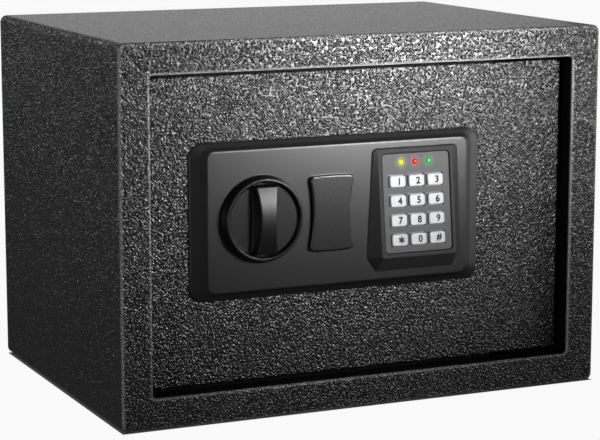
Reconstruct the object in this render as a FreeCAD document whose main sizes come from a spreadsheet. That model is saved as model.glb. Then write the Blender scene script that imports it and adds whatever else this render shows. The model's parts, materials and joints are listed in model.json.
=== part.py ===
import FreeCAD, Part
import math
import os
import types

import Sketcher
from FreeCAD import Placement, Rotation, Vector

# Small electronic safe, door closed and bolts drawn in.
# Millimetres, +X right, +Y into the safe, +Z up, origin under the middle of the cabinet.

SIZES = {
    # Cabinet of folded sheet
    "cabinet_width": 350.0,
    "cabinet_height": 250.0,
    "cabinet_depth": 250.0,
    "sheet_thickness": 2.0,
    "cabinet_corner_radius": 5.0,
    "front_bend_radius": 1.9,
    "frame_border": 21.0,
    "opening_corner_radius": 2.5,
    "opening_edge_radius": 1.2,
    "anchor_spacing": 200.0,
    "anchor_diameter": 10.0,
    "mat_thickness": 2.0,
    "mat_side_gap": 4.0,
    "mat_corner_radius": 6.0,
    "mat_hole_margin": 3.0,
    # Lining of the doorway
    "jamb_depth": 36.0,
    "jamb_thickness": 3.0,
    "stop_lip_height": 8.0,
    "stop_lip_thickness": 2.0,
    "stop_lip_gap": 0.3,
    "stop_lip_hinge_room": 54.0,
    "keeper_clearance": 0.5,
    # Door plate and hinges
    "door_recess": 12.0,
    "door_gap": 3.0,
    "door_thickness": 4.0,
    "door_corner_radius": 2.0,
    "door_edge_radius": 0.8,
    "blind_hole_depth": 3.0,
    "cable_hole_diameter": 14.0,
    "hinge_inset": 13.0,
    "hinge_setback": 3.0,
    "hinge_pin_diameter": 5.0,
    "hinge_clearance": 0.05,
    "hinge_collar_diameter": 9.0,
    "hinge_collar_gap": 0.3,
    "hinge_pin_overhang": 1.0,
    "knuckle_radius": 6.0,
    "knuckle_foot_width": 18.0,
    "knuckle_height": 14.0,
    # Control panel
    "panel_width": 211.0,
    "panel_height": 104.0,
    "panel_left_margin": 27.0,
    "panel_shift_z": 6.0,
    "panel_foot_height": 1.2,
    "panel_lower_rise": 3.2,
    "panel_upper_rise": 2.0,
    "panel_lower_side_slope": 6.6,
    "panel_lower_end_slope": 3.4,
    "panel_upper_side_slope": 4.6,
    "panel_upper_end_slope": 2.3,
    "panel_outer_radius": 9.0,
    "panel_ridge_radius": 7.0,
    "panel_face_radius": 5.0,
    "panel_foot_edge_radius": 0.8,
    "panel_ridge_edge_radius": 1.0,
    "panel_face_edge_radius": 1.0,
    "panel_wall": 2.2,
    "panel_rim": 9.0,
    "panel_screw_depth": 3.6,
    # Knob and its drive
    "knob_shift_x": -56.5,
    "knob_shift_z": 0.8,
    "knob_base_diameter": 58.0,
    "knob_skirt_height": 1.4,
    "knob_rim_diameter": 53.8,
    "knob_height": 6.0,
    "knob_gap": 0.4,
    "knob_rim_width": 1.6,
    "knob_skirt_edge_radius": 0.6,
    "knob_rim_edge_radius": 0.6,
    "dish_edge_radius": 0.5,
    "grip_edge_radius": 0.6,
    "dish_diameter": 47.4,
    "dish_depth": 3.0,
    "grip_width": 18.6,
    "grip_waist_width": 16.0,
    "grip_rise": 6.3,
    "grip_draft_angle": 17.0,
    "spindle_diameter": 8.0,
    "spindle_knob_depth": 7.0,
    "spindle_clearance": 0.05,
    "spindle_hole_margin": 1.0,
    "bush_diameter": 12.0,
    "bush_flange_diameter": 20.0,
    "bush_flange_thickness": 2.5,
    "cam_gap": 0.5,
    "drive_cam_thickness": 3.0,
    "drive_cam_hub_radius": 9.0,
    "drive_cam_tip_radius": 5.0,
    "drive_pin_diameter": 5.0,
    "drive_pin_overhang": 1.0,
    "drive_slot_clearance": 0.6,
    # Bolts and their carrier
    "bolt_throw": 16.0,
    "bolt_diameter": 14.0,
    "bolt_spacing": 80.0,
    "bolt_setback": 9.5,
    "bolt_tip_chamfer": 1.6,
    "bolt_spigot_diameter": 8.0,
    "bolt_clearance": 0.1,
    "bolt_edge_inset": 1.5,
    "bolt_stroke_room": 1.0,
    "guide_thickness": 3.0,
    "guide_foot_thickness": 2.0,
    "guide_foot_width": 16.0,
    "carrier_thickness": 2.5,
    "carrier_gap": 0.5,
    "carrier_margin": 11.0,
    "carrier_bend_radius": 2.0,
    "carrier_body_width": 46.0,
    "carrier_tongue_reach": 28.5,
    "carrier_tongue_drop": 13.0,
    "carrier_tongue_rise": 29.0,
    "post_inset": 18.0,
    "post_spacing": 50.0,
    "post_neck_diameter": 5.0,
    "post_shoulder_diameter": 9.0,
    "post_head_diameter": 10.0,
    "post_head_thickness": 2.0,
    "post_play": 0.3,
    # Solenoid that blocks the carrier
    "pin_diameter": 6.0,
    "pin_clearance": 0.1,
    "pin_travel": 12.0,
    "pin_engagement": 3.0,
    "pin_side_gap": 0.6,
    "pin_collar_diameter": 9.0,
    "pin_collar_thickness": 1.5,
    "pin_head_length": 2.5,
    "pin_root_gap": 4.0,
    "spring_length": 9.0,
    "spring_coil_diameter": 7.8,
    "spring_wire_diameter": 0.7,
    "spring_seat_gap": 0.05,
    "solenoid_height": 28.0,
    "solenoid_frame_width": 18.0,
    "solenoid_frame_thickness": 2.0,
    "solenoid_arm_overhang": 9.0,
    "coil_width": 17.0,
    "coil_corner_radius": 4.0,
    "solenoid_screw_inset": 4.0,
    # Override lock and its cover
    "lock_shift_x": -7.2,
    "lock_shift_z": 1.6,
    "barrel_diameter": 18.0,
    "barrel_hole_clearance": 0.2,
    "barrel_flange_diameter": 22.0,
    "barrel_flange_thickness": 1.2,
    "barrel_tail_length": 11.0,
    "barrel_nut_size": 24.0,
    "barrel_nut_thickness": 5.0,
    "plug_diameter": 12.0,
    "plug_clearance": 0.05,
    "plug_tail_size": 6.0,
    "keyway_width": 2.0,
    "keyway_height": 8.0,
    "keyway_depth": 10.0,
    "lock_cam_thickness": 2.0,
    "lock_cam_gap": 0.4,
    "lock_cam_hub_radius": 7.0,
    "lock_cam_tip_radius": 4.0,
    "lock_cam_reach": 28.0,
    "key_cover_width": 33.0,
    "key_cover_waist": 26.8,
    "key_cover_height": 49.4,
    "key_cover_crown": 0.8,
    "key_cover_thickness": 3.2,
    "key_cover_corner_radius": 3.0,
    "key_cover_edge_radius": 1.2,
    "key_cover_hollow_width": 24.6,
    "key_cover_hollow_height": 36.0,
    "key_cover_hollow_depth": 1.7,
    "cover_tab_width": 8.0,
    "cover_tab_thickness": 1.5,
    "cover_tab_length": 4.0,
    "cover_tab_spacing": 40.0,
    "cover_tab_clearance": 0.3,
    # Keypad pod
    "keypad_shift_x": 55.0,
    "keypad_shift_z": 5.0,
    "keypad_tilt_angle": 6.4,
    "keypad_rise": 4.9,
    "pod_face_width": 56.0,
    "pod_face_height": 72.2,
    "pod_face_corner": 1.2,
    "pod_face_top_radius": 2.5,
    "pod_base_top_radius": 3.5,
    "pod_top_slope": 1.3,
    "pod_edge_radius": 0.5,
    "pod_base_width": 71.0,
    "pod_base_top_width": 64.0,
    "pod_base_foot_width": 58.0,
    "pod_base_foot_height": 9.8,
    "pod_base_drop": 9.9,
    "pod_skirt_width": 55.0,
    "pod_skirt_height": 69.6,
    "pod_skirt_clearance": 0.2,
    "face_plate_width": 50.2,
    "face_plate_height": 66.4,
    "face_plate_radius": 3.0,
    "face_plate_thickness": 1.5,
    "face_plate_sink": 0.6,
    "face_plate_clearance": 0.4,
    "face_plate_edge_radius": 0.4,
    "face_plate_ledge": 1.6,
    "membrane_thickness": 2.0,
    "board_thickness": 1.5,
    "board_clearance": 0.3,
    "key_width": 11.7,
    "key_height": 7.8,
    "key_pitch_x": 14.1,
    "key_pitch_z": 13.05,
    "key_rows_shift": -4.9,
    "key_columns_shift": -0.5,
    "key_rise": 1.6,
    "key_corner_radius": 1.6,
    "key_edge_radius": 0.9,
    "key_clearance": 0.45,
    "key_travel": 0.8,
    "key_foot_width": 11.0,
    "key_foot_height": 10.6,
    "key_foot_thickness": 0.6,
    "key_pocket_clearance": 0.4,
    "key_pocket_room": 0.2,
    "led_diameter": 3.4,
    "led_pitch": 10.3,
    "led_rise": 27.4,
    "led_proud": 0.9,
    "led_dome_radius": 1.5,
    "led_clearance": 0.15,
    # Inner cover, batteries and reset button
    "cover_depth": 31.0,
    "cover_sheet": 1.2,
    "cover_hinge_inset": 33.0,
    "cover_bend_radius": 1.8,
    "cover_flange_height": 12.0,
    "cover_flange_gap": 3.0,
    "cover_screw_inset_x": 20.0,
    "tray_width": 64.0,
    "tray_height": 56.0,
    "tray_depth": 17.6,
    "tray_wall": 1.6,
    "tray_inset": 8.0,
    "battery_diameter": 14.2,
    "battery_length": 49.2,
    "battery_tip_diameter": 5.4,
    "battery_tip_length": 1.2,
    "battery_pitch": 15.0,
    "battery_floor_gap": 0.2,
    "lid_seat": 0.9,
    "lid_clearance": 0.3,
    "lid_grip_width": 20.0,
    "lid_grip_height": 3.0,
    "lid_grip_rise": 2.0,
    "lid_grip_inset": 8.0,
    "reset_shift_x": 22.0,
    "reset_inset": 19.0,
    "reset_diameter": 6.0,
    "reset_clearance": 0.2,
    "reset_proud": 1.8,
    "reset_length": 6.0,
    "reset_travel": 1.0,
    "reset_switch_size": 12.0,
    "reset_switch_depth": 9.0,
    "loom_diameter": 3.0,
    "loom_setback": 6.0,
    "loom_lead": 16.0,
    # Screws
    "screw_diameter": 4.0,
    "screw_head_diameter": 7.2,
    "screw_head_height": 2.3,
    "screw_hole_clearance": 0.2,
    # How far a cut runs past the face it leaves by
    "overrun": 1.0,
}

KEY_NAMES = (("1", "2", "3"), ("4", "5", "6"), ("7", "8", "9"), ("star", "0", "hash"))
LED_NAMES = ("yellow", "red", "green")
SPRING_TURNS = 4
QUARTERS_PER_TURN = 4
BATTERY_COUNT = 4
NUT_SIDES = 6
LOOM_BEND_SHARE = 0.45

doc = FreeCAD.newDocument("electronic_safe")
sheet = doc.addObject("Spreadsheet::Sheet", "sizes")
for row, (name, value) in enumerate(SIZES.items(), start=1):
    sheet.set(f"A{row}", name)
    sheet.set(f"B{row}", str(value))
    sheet.setAlias(f"B{row}", name)
doc.recompute()


class Formula:
    """A number that remembers the sheet formula it comes from."""

    def __init__(self, number, text):
        self.number = number
        self.text = text

    def __add__(self, other):
        return Formula(self.number + number(other), f"({self.text} + {text(other)})")

    def __radd__(self, other):
        return Formula(number(other) + self.number, f"({text(other)} + {self.text})")

    def __sub__(self, other):
        return Formula(self.number - number(other), f"({self.text} - {text(other)})")

    def __rsub__(self, other):
        return Formula(number(other) - self.number, f"({text(other)} - {self.text})")

    def __mul__(self, other):
        return Formula(self.number * number(other), f"({self.text} * {text(other)})")

    def __rmul__(self, other):
        return Formula(number(other) * self.number, f"({text(other)} * {self.text})")

    def __truediv__(self, other):
        return Formula(self.number / number(other), f"({self.text} / {text(other)})")

    def __neg__(self):
        return Formula(-self.number, f"(-{self.text})")


def number(item):
    return item.number if isinstance(item, Formula) else float(item)


def text(item):
    return item.text if isinstance(item, Formula) else f"({item!r})"


def sine(angle):
    return Formula(math.sin(math.radians(number(angle))), f"sin({text(angle)})")


def cosine(angle):
    return Formula(math.cos(math.radians(number(angle))), f"cos({text(angle)})")


def root(item):
    return Formula(math.sqrt(number(item)), f"sqrt({text(item)})")


def bind(item, name, value):
    item.setExpression(name, text(value))


size = types.SimpleNamespace(
    **{name: Formula(float(sheet.get(name)), f"sizes.{name}") for name in SIZES}
)

# Planes and centres that several pieces share

front = -size.cabinet_depth / 2
back = size.cabinet_depth / 2
middle_z = size.cabinet_height / 2
inner_width = size.cabinet_width - 2 * size.sheet_thickness
inner_height = size.cabinet_height - 2 * size.sheet_thickness
inner_radius = size.cabinet_corner_radius - size.sheet_thickness
opening_width = size.cabinet_width - 2 * size.frame_border
opening_height = size.cabinet_height - 2 * size.frame_border
jamb_front = front + size.sheet_thickness
jamb_back = jamb_front + size.jamb_depth
door_width = opening_width - 2 * size.door_gap
door_height = opening_height - 2 * size.door_gap
door_front = front + size.door_recess
door_back = door_front + size.door_thickness
hinge_x = door_width / 2 - size.hinge_inset
hinge_y = door_back + size.hinge_setback
cover_back = door_back + size.cover_depth
cover_inside = cover_back - size.cover_sheet

panel_x = size.panel_left_margin + (size.panel_width - door_width) / 2
panel_z = middle_z + size.panel_shift_z
foot_y = door_front - size.panel_foot_height
ridge_y = door_front - size.panel_lower_rise
panel_face = ridge_y - size.panel_upper_rise
panel_rise = size.panel_lower_rise + size.panel_upper_rise
ridge_width = size.panel_width - 2 * size.panel_lower_side_slope
ridge_height = size.panel_height - 2 * size.panel_lower_end_slope
face_width = ridge_width - 2 * size.panel_upper_side_slope
face_height = ridge_height - 2 * size.panel_upper_end_slope
panel_screw_x = face_width / 2 - size.panel_rim / 2
panel_screw_z = face_height / 2 - size.panel_rim / 2

knob_x = panel_x + size.knob_shift_x
knob_z = panel_z + size.knob_shift_z
knob_back = panel_face - size.knob_gap
knob_rim = knob_back - size.knob_height
lock_x = panel_x + size.lock_shift_x
lock_z = panel_z + size.lock_shift_z
keypad_x = panel_x + size.keypad_shift_x
keypad_z = panel_z + size.keypad_shift_z
keypad_y = panel_face - size.keypad_rise
plate_back = size.face_plate_sink + size.face_plate_thickness
well_width = size.face_plate_width - 2 * size.face_plate_ledge
well_height = size.face_plate_height - 2 * size.face_plate_ledge
stack_width = well_width - 2 * size.board_clearance
stack_height = well_height - 2 * size.board_clearance

bolt_y = door_back + size.bolt_setback
bolt_heights = (middle_z - size.bolt_spacing / 2, middle_z + size.bolt_spacing / 2)
guide_left = size.bolt_edge_inset - door_width / 2
guide_right = guide_left + size.guide_thickness
carrier_left = guide_right + size.bolt_stroke_room + size.bolt_throw
carrier_right = knob_x + size.carrier_tongue_reach
carrier_front = bolt_y + size.bolt_diameter / 2 + size.carrier_gap
carrier_back = carrier_front + size.carrier_thickness
carrier_low = bolt_heights[0] - size.carrier_margin
carrier_high = bolt_heights[1] + size.carrier_margin
tongue_low = knob_z - size.carrier_tongue_drop
cam_back = carrier_front - size.cam_gap
cam_front = cam_back - size.drive_cam_thickness
drive_reach = size.bolt_throw / 2
drive_radius = drive_reach * root(2)

pin_share = (size.pin_travel - size.pin_engagement) / size.pin_travel
pin_x = carrier_right - size.bolt_throw * pin_share + size.pin_side_gap + size.pin_diameter / 2
pin_y = carrier_front + size.carrier_thickness / 2
pin_top = tongue_low + size.pin_engagement - size.pin_travel
pin_collar_low = pin_top - size.pin_head_length - size.pin_collar_thickness
solenoid_top = pin_collar_low - size.spring_length
solenoid_low = solenoid_top - size.solenoid_height
solenoid_middle = solenoid_low + size.solenoid_height / 2

barrel_front = panel_face - size.barrel_flange_thickness
barrel_back = door_back + size.barrel_tail_length
cover_right = door_width / 2 - size.cover_hinge_inset
cover_left = guide_right
cover_edge = size.stop_lip_height + size.cover_flange_gap + size.cover_flange_height
cover_height = opening_height - 2 * cover_edge
cover_low = middle_z - cover_height / 2
cover_high = middle_z + cover_height / 2
tray_x = cover_right - size.tray_inset - size.tray_width / 2
hatch_width = size.tray_width - 2 * size.lid_seat
hatch_height = size.tray_height - 2 * size.lid_seat
reset_x = size.reset_shift_x
reset_z = cover_low + size.reset_inset
post_x = carrier_left + size.post_inset
post_heights = (middle_z - size.post_spacing / 2, middle_z + size.post_spacing / 2)
cover_screw_columns = (cover_left + size.cover_screw_inset_x, cover_right - size.cover_screw_inset_x)
cover_screw_rows = (cover_low - size.cover_flange_height / 2, cover_high + size.cover_flange_height / 2)
solenoid_screw_edge = size.solenoid_frame_thickness + size.solenoid_screw_inset
solenoid_screw_rows = (solenoid_low + solenoid_screw_edge, solenoid_top - solenoid_screw_edge)

nodes = {}


# Drawing helpers

def add_body(label):
    body = doc.addObject("PartDesign::Body", label)
    body.Label = label
    return body


def keep(item, label):
    item.Label = label
    nodes[label] = item
    return item


def add_sketch(body, role, offset):
    """A sketch on one of the body's own planes, moved along that plane's normal."""
    sketch = body.newObject("Sketcher::SketchObject", "outline")
    plane = next(item for item in body.Origin.OriginFeatures if item.Role == role)
    sketch.AttachmentSupport = (plane, [""])
    sketch.MapMode = "FlatFace"
    bind(sketch, "AttachmentOffset.Base.z", offset)
    return sketch


def front_sketch(body, y):
    """Drawn in X and Z as seen from the front, at depth y."""
    return add_sketch(body, "XZ_Plane", -y)


def side_sketch(body, x):
    """Drawn in Y and Z, at x."""
    return add_sketch(body, "YZ_Plane", x)


def plan_sketch(body, z):
    """Drawn in X and Y, at height z."""
    return add_sketch(body, "XY_Plane", z)


def fix_point(sketch, shape, end, x, y):
    across = sketch.addConstraint(Sketcher.Constraint("DistanceX", -1, 1, shape, end, number(x)))
    bind(sketch, f"Constraints[{across}]", x)
    upward = sketch.addConstraint(Sketcher.Constraint("DistanceY", -1, 1, shape, end, number(y)))
    bind(sketch, f"Constraints[{upward}]", y)


def draw_circle(sketch, x, y, diameter):
    centre = Vector(number(x), number(y), 0)
    shape = sketch.addGeometry(Part.Circle(centre, Vector(0, 0, 1), number(diameter) / 2), False)
    fix_point(sketch, shape, 3, x, y)
    width = sketch.addConstraint(Sketcher.Constraint("Diameter", shape, number(diameter)))
    bind(sketch, f"Constraints[{width}]", diameter)


def arc_between(start, end, centre, counterclockwise):
    """An arc for a sketch, with the numbers of the ends that stand at start and end."""
    first, last = (start, end) if counterclockwise else (end, start)
    first_angle = math.atan2(first.y - centre.y, first.x - centre.x)
    last_angle = math.atan2(last.y - centre.y, last.x - centre.x)
    circle = Part.Circle(centre, Vector(0, 0, 1), centre.distanceToPoint(start))
    arc = Part.ArcOfCircle(circle, first_angle, last_angle)
    return arc, ((1, 2) if counterclockwise else (2, 1))


def turns_left(first, second, third):
    return (second - first).cross(third - second).z > 0


def draw_outline(sketch, corners):
    """A closed outline. A corner is (x, y) or (x, y, radius), and a third item "via" bows a side."""
    places = [corner for corner in corners if corner[-1] != "via"]
    bows = {}
    for index, corner in enumerate(corners):
        if corner[-1] == "via":
            before = sum(1 for earlier in corners[:index] if earlier[-1] != "via") - 1
            bows[before] = corner
    count = len(places)
    points = [Vector(number(place[0]), number(place[1]), 0) for place in places]
    arrivals = list(points)
    departures = list(points)
    rounds = {}
    for index, place in enumerate(places):
        if len(place) < 3:
            continue
        here = points[index]
        to_last = (points[index - 1] - here).normalize()
        to_next = (points[(index + 1) % count] - here).normalize()
        half = to_last.getAngle(to_next) / 2
        reach = number(place[2]) / math.tan(half)
        arrivals[index] = here + to_last * reach
        departures[index] = here + to_next * reach
        bisector = (to_last + to_next).normalize()
        centre = here + bisector * (number(place[2]) / math.sin(half))
        left = turns_left(points[index - 1], here, points[(index + 1) % count])
        arc, ends = arc_between(arrivals[index], departures[index], centre, left)
        rounds[index] = (sketch.addGeometry(arc, False), ends)

    sides = []
    for index in range(count):
        start = departures[index]
        end = arrivals[(index + 1) % count]
        if index in bows:
            bow = Vector(number(bows[index][0]), number(bows[index][1]), 0)
            centre = Part.Arc(start, bow, end).toShape().Curve.Center
            arc, ends = arc_between(start, end, centre, turns_left(start, bow, end))
            shape = sketch.addGeometry(arc, False)
            mark = sketch.addGeometry(Part.Point(bow), True)
            fix_point(sketch, mark, 1, bows[index][0], bows[index][1])
            sides.append((shape, ends, mark))
        else:
            shape = sketch.addGeometry(Part.LineSegment(start, end), False)
            sides.append((shape, (1, 2), None))

    for index, place in enumerate(places):
        arriving, arriving_ends, _ = sides[index - 1]
        leaving, leaving_ends, _ = sides[index]
        if index in rounds:
            arc, arc_ends = rounds[index]
            mark = sketch.addGeometry(Part.Point(points[index]), True)
            fix_point(sketch, mark, 1, place[0], place[1])
            sketch.addConstraint(Sketcher.Constraint("PointOnObject", mark, 1, arriving))
            sketch.addConstraint(Sketcher.Constraint("PointOnObject", mark, 1, leaving))
            sketch.addConstraint(
                Sketcher.Constraint("Tangent", arriving, arriving_ends[1], arc, arc_ends[0])
            )
            sketch.addConstraint(
                Sketcher.Constraint("Tangent", arc, arc_ends[1], leaving, leaving_ends[0])
            )
            radius = sketch.addConstraint(Sketcher.Constraint("Radius", arc, number(place[2])))
            bind(sketch, f"Constraints[{radius}]", place[2])
        else:
            fix_point(sketch, leaving, leaving_ends[0], place[0], place[1])
            sketch.addConstraint(
                Sketcher.Constraint("Coincident", arriving, arriving_ends[1], leaving, leaving_ends[0])
            )
    for shape, _, mark in sides:
        if mark is not None:
            sketch.addConstraint(Sketcher.Constraint("PointOnObject", mark, 1, shape))


def draw_rectangle(sketch, x, y, width, height, radius=None):
    """A rectangle about its centre, with rounded corners where a radius is given."""
    shares = ((-1, -1), (1, -1), (1, 1), (-1, 1))
    corners = [(x + across * width / 2, y + upward * height / 2) for across, upward in shares]
    if radius is not None:
        corners = [corner + (radius,) for corner in corners]
    draw_outline(sketch, corners)


def draw_span(sketch, left, low, right, high):
    """A rectangle between two corners."""
    draw_outline(sketch, [(left, low), (right, low), (right, high), (left, high)])


def draw_teardrop(sketch, x, y, hub_radius, tip_radius, reach_x, reach_y):
    """A lever's outline: a hub and a smaller tip joined by two tangent lines."""
    hub = Vector(number(x), number(y), 0)
    tip = hub + Vector(number(reach_x), number(reach_y), 0)
    along = (tip - hub).normalize()
    across = Vector(-along.y, along.x, 0)
    lean = (number(hub_radius) - number(tip_radius)) / hub.distanceToPoint(tip)
    upper = along * lean + across * math.sqrt(1 - lean ** 2)
    lower = along * lean - across * math.sqrt(1 - lean ** 2)
    starts = [hub + upper * number(hub_radius), hub + lower * number(hub_radius)]
    ends = [tip + upper * number(tip_radius), tip + lower * number(tip_radius)]
    hub_arc = sketch.addGeometry(arc_between(starts[0], starts[1], hub, True)[0], False)
    tip_arc = sketch.addGeometry(arc_between(ends[1], ends[0], tip, True)[0], False)
    low_line = sketch.addGeometry(Part.LineSegment(starts[1], ends[1]), False)
    high_line = sketch.addGeometry(Part.LineSegment(ends[0], starts[0]), False)
    joints = ((hub_arc, 2, low_line, 1), (low_line, 2, tip_arc, 1), (tip_arc, 2, high_line, 1))
    for one, one_end, other, other_end in joints + ((high_line, 2, hub_arc, 1),):
        sketch.addConstraint(Sketcher.Constraint("Tangent", one, one_end, other, other_end))
    fix_point(sketch, hub_arc, 3, x, y)
    fix_point(sketch, tip_arc, 3, x + reach_x, y + reach_y)
    for arc, radius in ((hub_arc, hub_radius), (tip_arc, tip_radius)):
        bound = sketch.addConstraint(Sketcher.Constraint("Radius", arc, number(radius)))
        bind(sketch, f"Constraints[{bound}]", radius)


# Feature helpers

def pad(body, sketch, length, forward=False, taper=None):
    """Raises a sketch: away from the viewer of a front sketch, or along the plane's normal if forward."""
    feature = body.newObject("PartDesign::Pad", "pad")
    feature.Profile = sketch
    bind(feature, "Length", length)
    feature.Reversed = not forward
    if taper is not None:
        bind(feature, "TaperAngle", taper)
    doc.recompute()
    return feature


def pocket(body, sketch, length, forward=False):
    """Cuts a sketch, against the plane's normal or along it if forward, and makes sure that it cuts."""
    before = body.Shape.Volume
    feature = body.newObject("PartDesign::Pocket", "pocket")
    feature.Profile = sketch
    bind(feature, "Length", length)
    feature.Reversed = forward
    doc.recompute()
    if not body.Shape.Volume < before:
        raise RuntimeError(f"a pocket of {body.Label} cuts nothing")
    return feature


def revolve(body, sketch, axis):
    feature = body.newObject("PartDesign::Revolution", "turned")
    feature.Profile = sketch
    feature.ReferenceAxis = (sketch, [axis])
    doc.recompute()
    return feature


def loft(body, first, second):
    feature = body.newObject("PartDesign::AdditiveLoft", "loft")
    feature.Profile = first
    feature.Sections = [second]
    feature.Ruled = True
    doc.recompute()
    return feature


def round_edges(body, chosen, radius):
    """Rounds the edges that the test chosen picks, by the middle and the box of each edge."""
    names = []
    for index, edge in enumerate(body.Shape.Edges, start=1):
        middle = edge.valueAt((edge.FirstParameter + edge.LastParameter) / 2)
        if chosen(middle, edge.BoundBox):
            names.append(f"Edge{index}")
    if not names:
        raise RuntimeError(f"no edge of {body.Label} to round")
    base = body.Tip
    feature = body.newObject("PartDesign::Fillet", "rounding")
    feature.Base = (base, names)
    bind(feature, "Radius", radius)
    doc.recompute()
    return feature


def place_body(body, x, y, z):
    bind(body, "Placement.Base.x", x)
    bind(body, "Placement.Base.y", y)
    bind(body, "Placement.Base.z", z)


def tilt_body(body):
    """Puts a body that is drawn on the keypad's own face where the tilted keypad stands."""
    body.Placement = Placement(Vector(), Rotation(Vector(-1, 0, 0), number(size.keypad_tilt_angle)))
    bind(body, "Placement.Rotation.Angle", size.keypad_tilt_angle)
    place_body(body, keypad_x, keypad_y, keypad_z)


def turned_along_y(label, x, z, profile):
    """A turned piece whose profile is given as (radius, y)."""
    body = add_body(label)
    sketch = plan_sketch(body, 0)
    draw_outline(sketch, profile)
    revolve(body, sketch, "V_Axis")
    place_body(body, x, 0, z)
    return body


def screw_from_inside(label, x, z, seat, length):
    """A pan-head screw with its head on the seat plane, driven towards the front of the safe."""
    shank = size.screw_diameter / 2
    head = size.screw_head_diameter / 2
    profile = [
        (0, seat - length),
        (shank, seat - length),
        (shank, seat),
        (head, seat),
        (head, seat + size.screw_head_height),
        (0, seat + size.screw_head_height),
    ]
    return turned_along_y(label, x, z, profile)


def keep_group(bodies, label):
    group = doc.addObject("Part::Compound", label)
    group.Links = bodies
    return keep(group, label)


# Cabinet

def make_cabinet_shell():
    body = add_body("cabinet_shell")
    outside = front_sketch(body, front)
    corner = size.cabinet_corner_radius
    draw_rectangle(outside, 0, middle_z, size.cabinet_width, size.cabinet_height, corner)
    pad(body, outside, size.cabinet_depth)
    inside = front_sketch(body, jamb_front)
    draw_rectangle(inside, 0, middle_z, inner_width, inner_height, inner_radius)
    pocket(body, inside, size.cabinet_depth)
    doorway = front_sketch(body, front)
    draw_rectangle(doorway, 0, middle_z, opening_width, opening_height, size.opening_corner_radius)
    pocket(body, doorway, size.sheet_thickness + size.overrun)
    anchors = plan_sketch(body, 0)
    for side in (-1, 1):
        draw_circle(anchors, side * size.anchor_spacing / 2, 0, size.anchor_diameter)
    pocket(body, anchors, size.sheet_thickness + size.overrun, forward=True)
    reach_x = number(opening_width / 2 + size.overrun)
    reach_z = number(opening_height / 2 + size.overrun)
    edge_plane = number(front + size.sheet_thickness / 2)

    def around_doorway(point, box):
        inside_doorway = abs(point.x) < reach_x and abs(point.z - number(middle_z)) < reach_z
        return box.YMax < edge_plane and inside_doorway

    def around_front(point, box):
        inside_doorway = abs(point.x) < reach_x and abs(point.z - number(middle_z)) < reach_z
        return box.YMax < edge_plane and not inside_doorway

    round_edges(body, around_front, size.front_bend_radius)
    round_edges(body, around_doorway, size.opening_edge_radius)
    keep(body, "cabinet_shell")


def make_back_panel():
    body = add_body("back_panel")
    sketch = front_sketch(body, back - size.sheet_thickness)
    draw_rectangle(sketch, 0, middle_z, inner_width, inner_height, inner_radius)
    for side in (-1, 1):
        draw_circle(sketch, side * size.anchor_spacing / 2, middle_z, size.anchor_diameter)
    pad(body, sketch, size.sheet_thickness)
    keep(body, "back_panel")


def make_door_frame():
    body = add_body("door_frame")
    lining = front_sketch(body, jamb_front)
    wall = size.jamb_thickness
    outer_radius = size.opening_corner_radius + wall
    draw_rectangle(lining, 0, middle_z, opening_width + 2 * wall, opening_height + 2 * wall, outer_radius)
    draw_rectangle(lining, 0, middle_z, opening_width, opening_height, size.opening_corner_radius)
    pad(body, lining, size.jamb_depth)
    lips = side_sketch(body, -opening_width / 2 - wall / 2)
    lip_front = door_back + size.stop_lip_gap
    for side in (-1, 1):
        edge = middle_z + side * (opening_height / 2 + wall / 2)
        lip = middle_z + side * (opening_height / 2 - size.stop_lip_height)
        draw_span(lips, lip_front, edge, lip_front + size.stop_lip_thickness, lip)
    pad(body, lips, opening_width + wall / 2 - size.stop_lip_hinge_room, forward=True)
    keepers = side_sketch(body, -opening_width / 2)
    for height in bolt_heights:
        draw_circle(keepers, bolt_y, height, size.bolt_diameter + 2 * size.keeper_clearance)
    pocket(body, keepers, wall + size.overrun)
    pivots = plan_sketch(body, 0)
    draw_circle(pivots, hinge_x, hinge_y, size.hinge_pin_diameter + 2 * size.hinge_clearance)
    pocket(body, pivots, size.cabinet_height, forward=True)
    keep(body, "door_frame")


def make_floor_mat():
    body = add_body("floor_mat")
    sketch = plan_sketch(body, size.sheet_thickness)
    mat_front = jamb_back
    mat_back = back - size.sheet_thickness - size.mat_side_gap
    middle_y = (mat_front + mat_back) / 2
    width = inner_width - 2 * size.mat_side_gap
    draw_rectangle(sketch, 0, middle_y, width, mat_back - mat_front, size.mat_corner_radius)
    for side in (-1, 1):
        hole = size.anchor_diameter + 2 * size.mat_hole_margin
        draw_circle(sketch, side * size.anchor_spacing / 2, 0, hole)
    pad(body, sketch, size.mat_thickness, forward=True)
    keep(body, "floor_mat")


# Door

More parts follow.
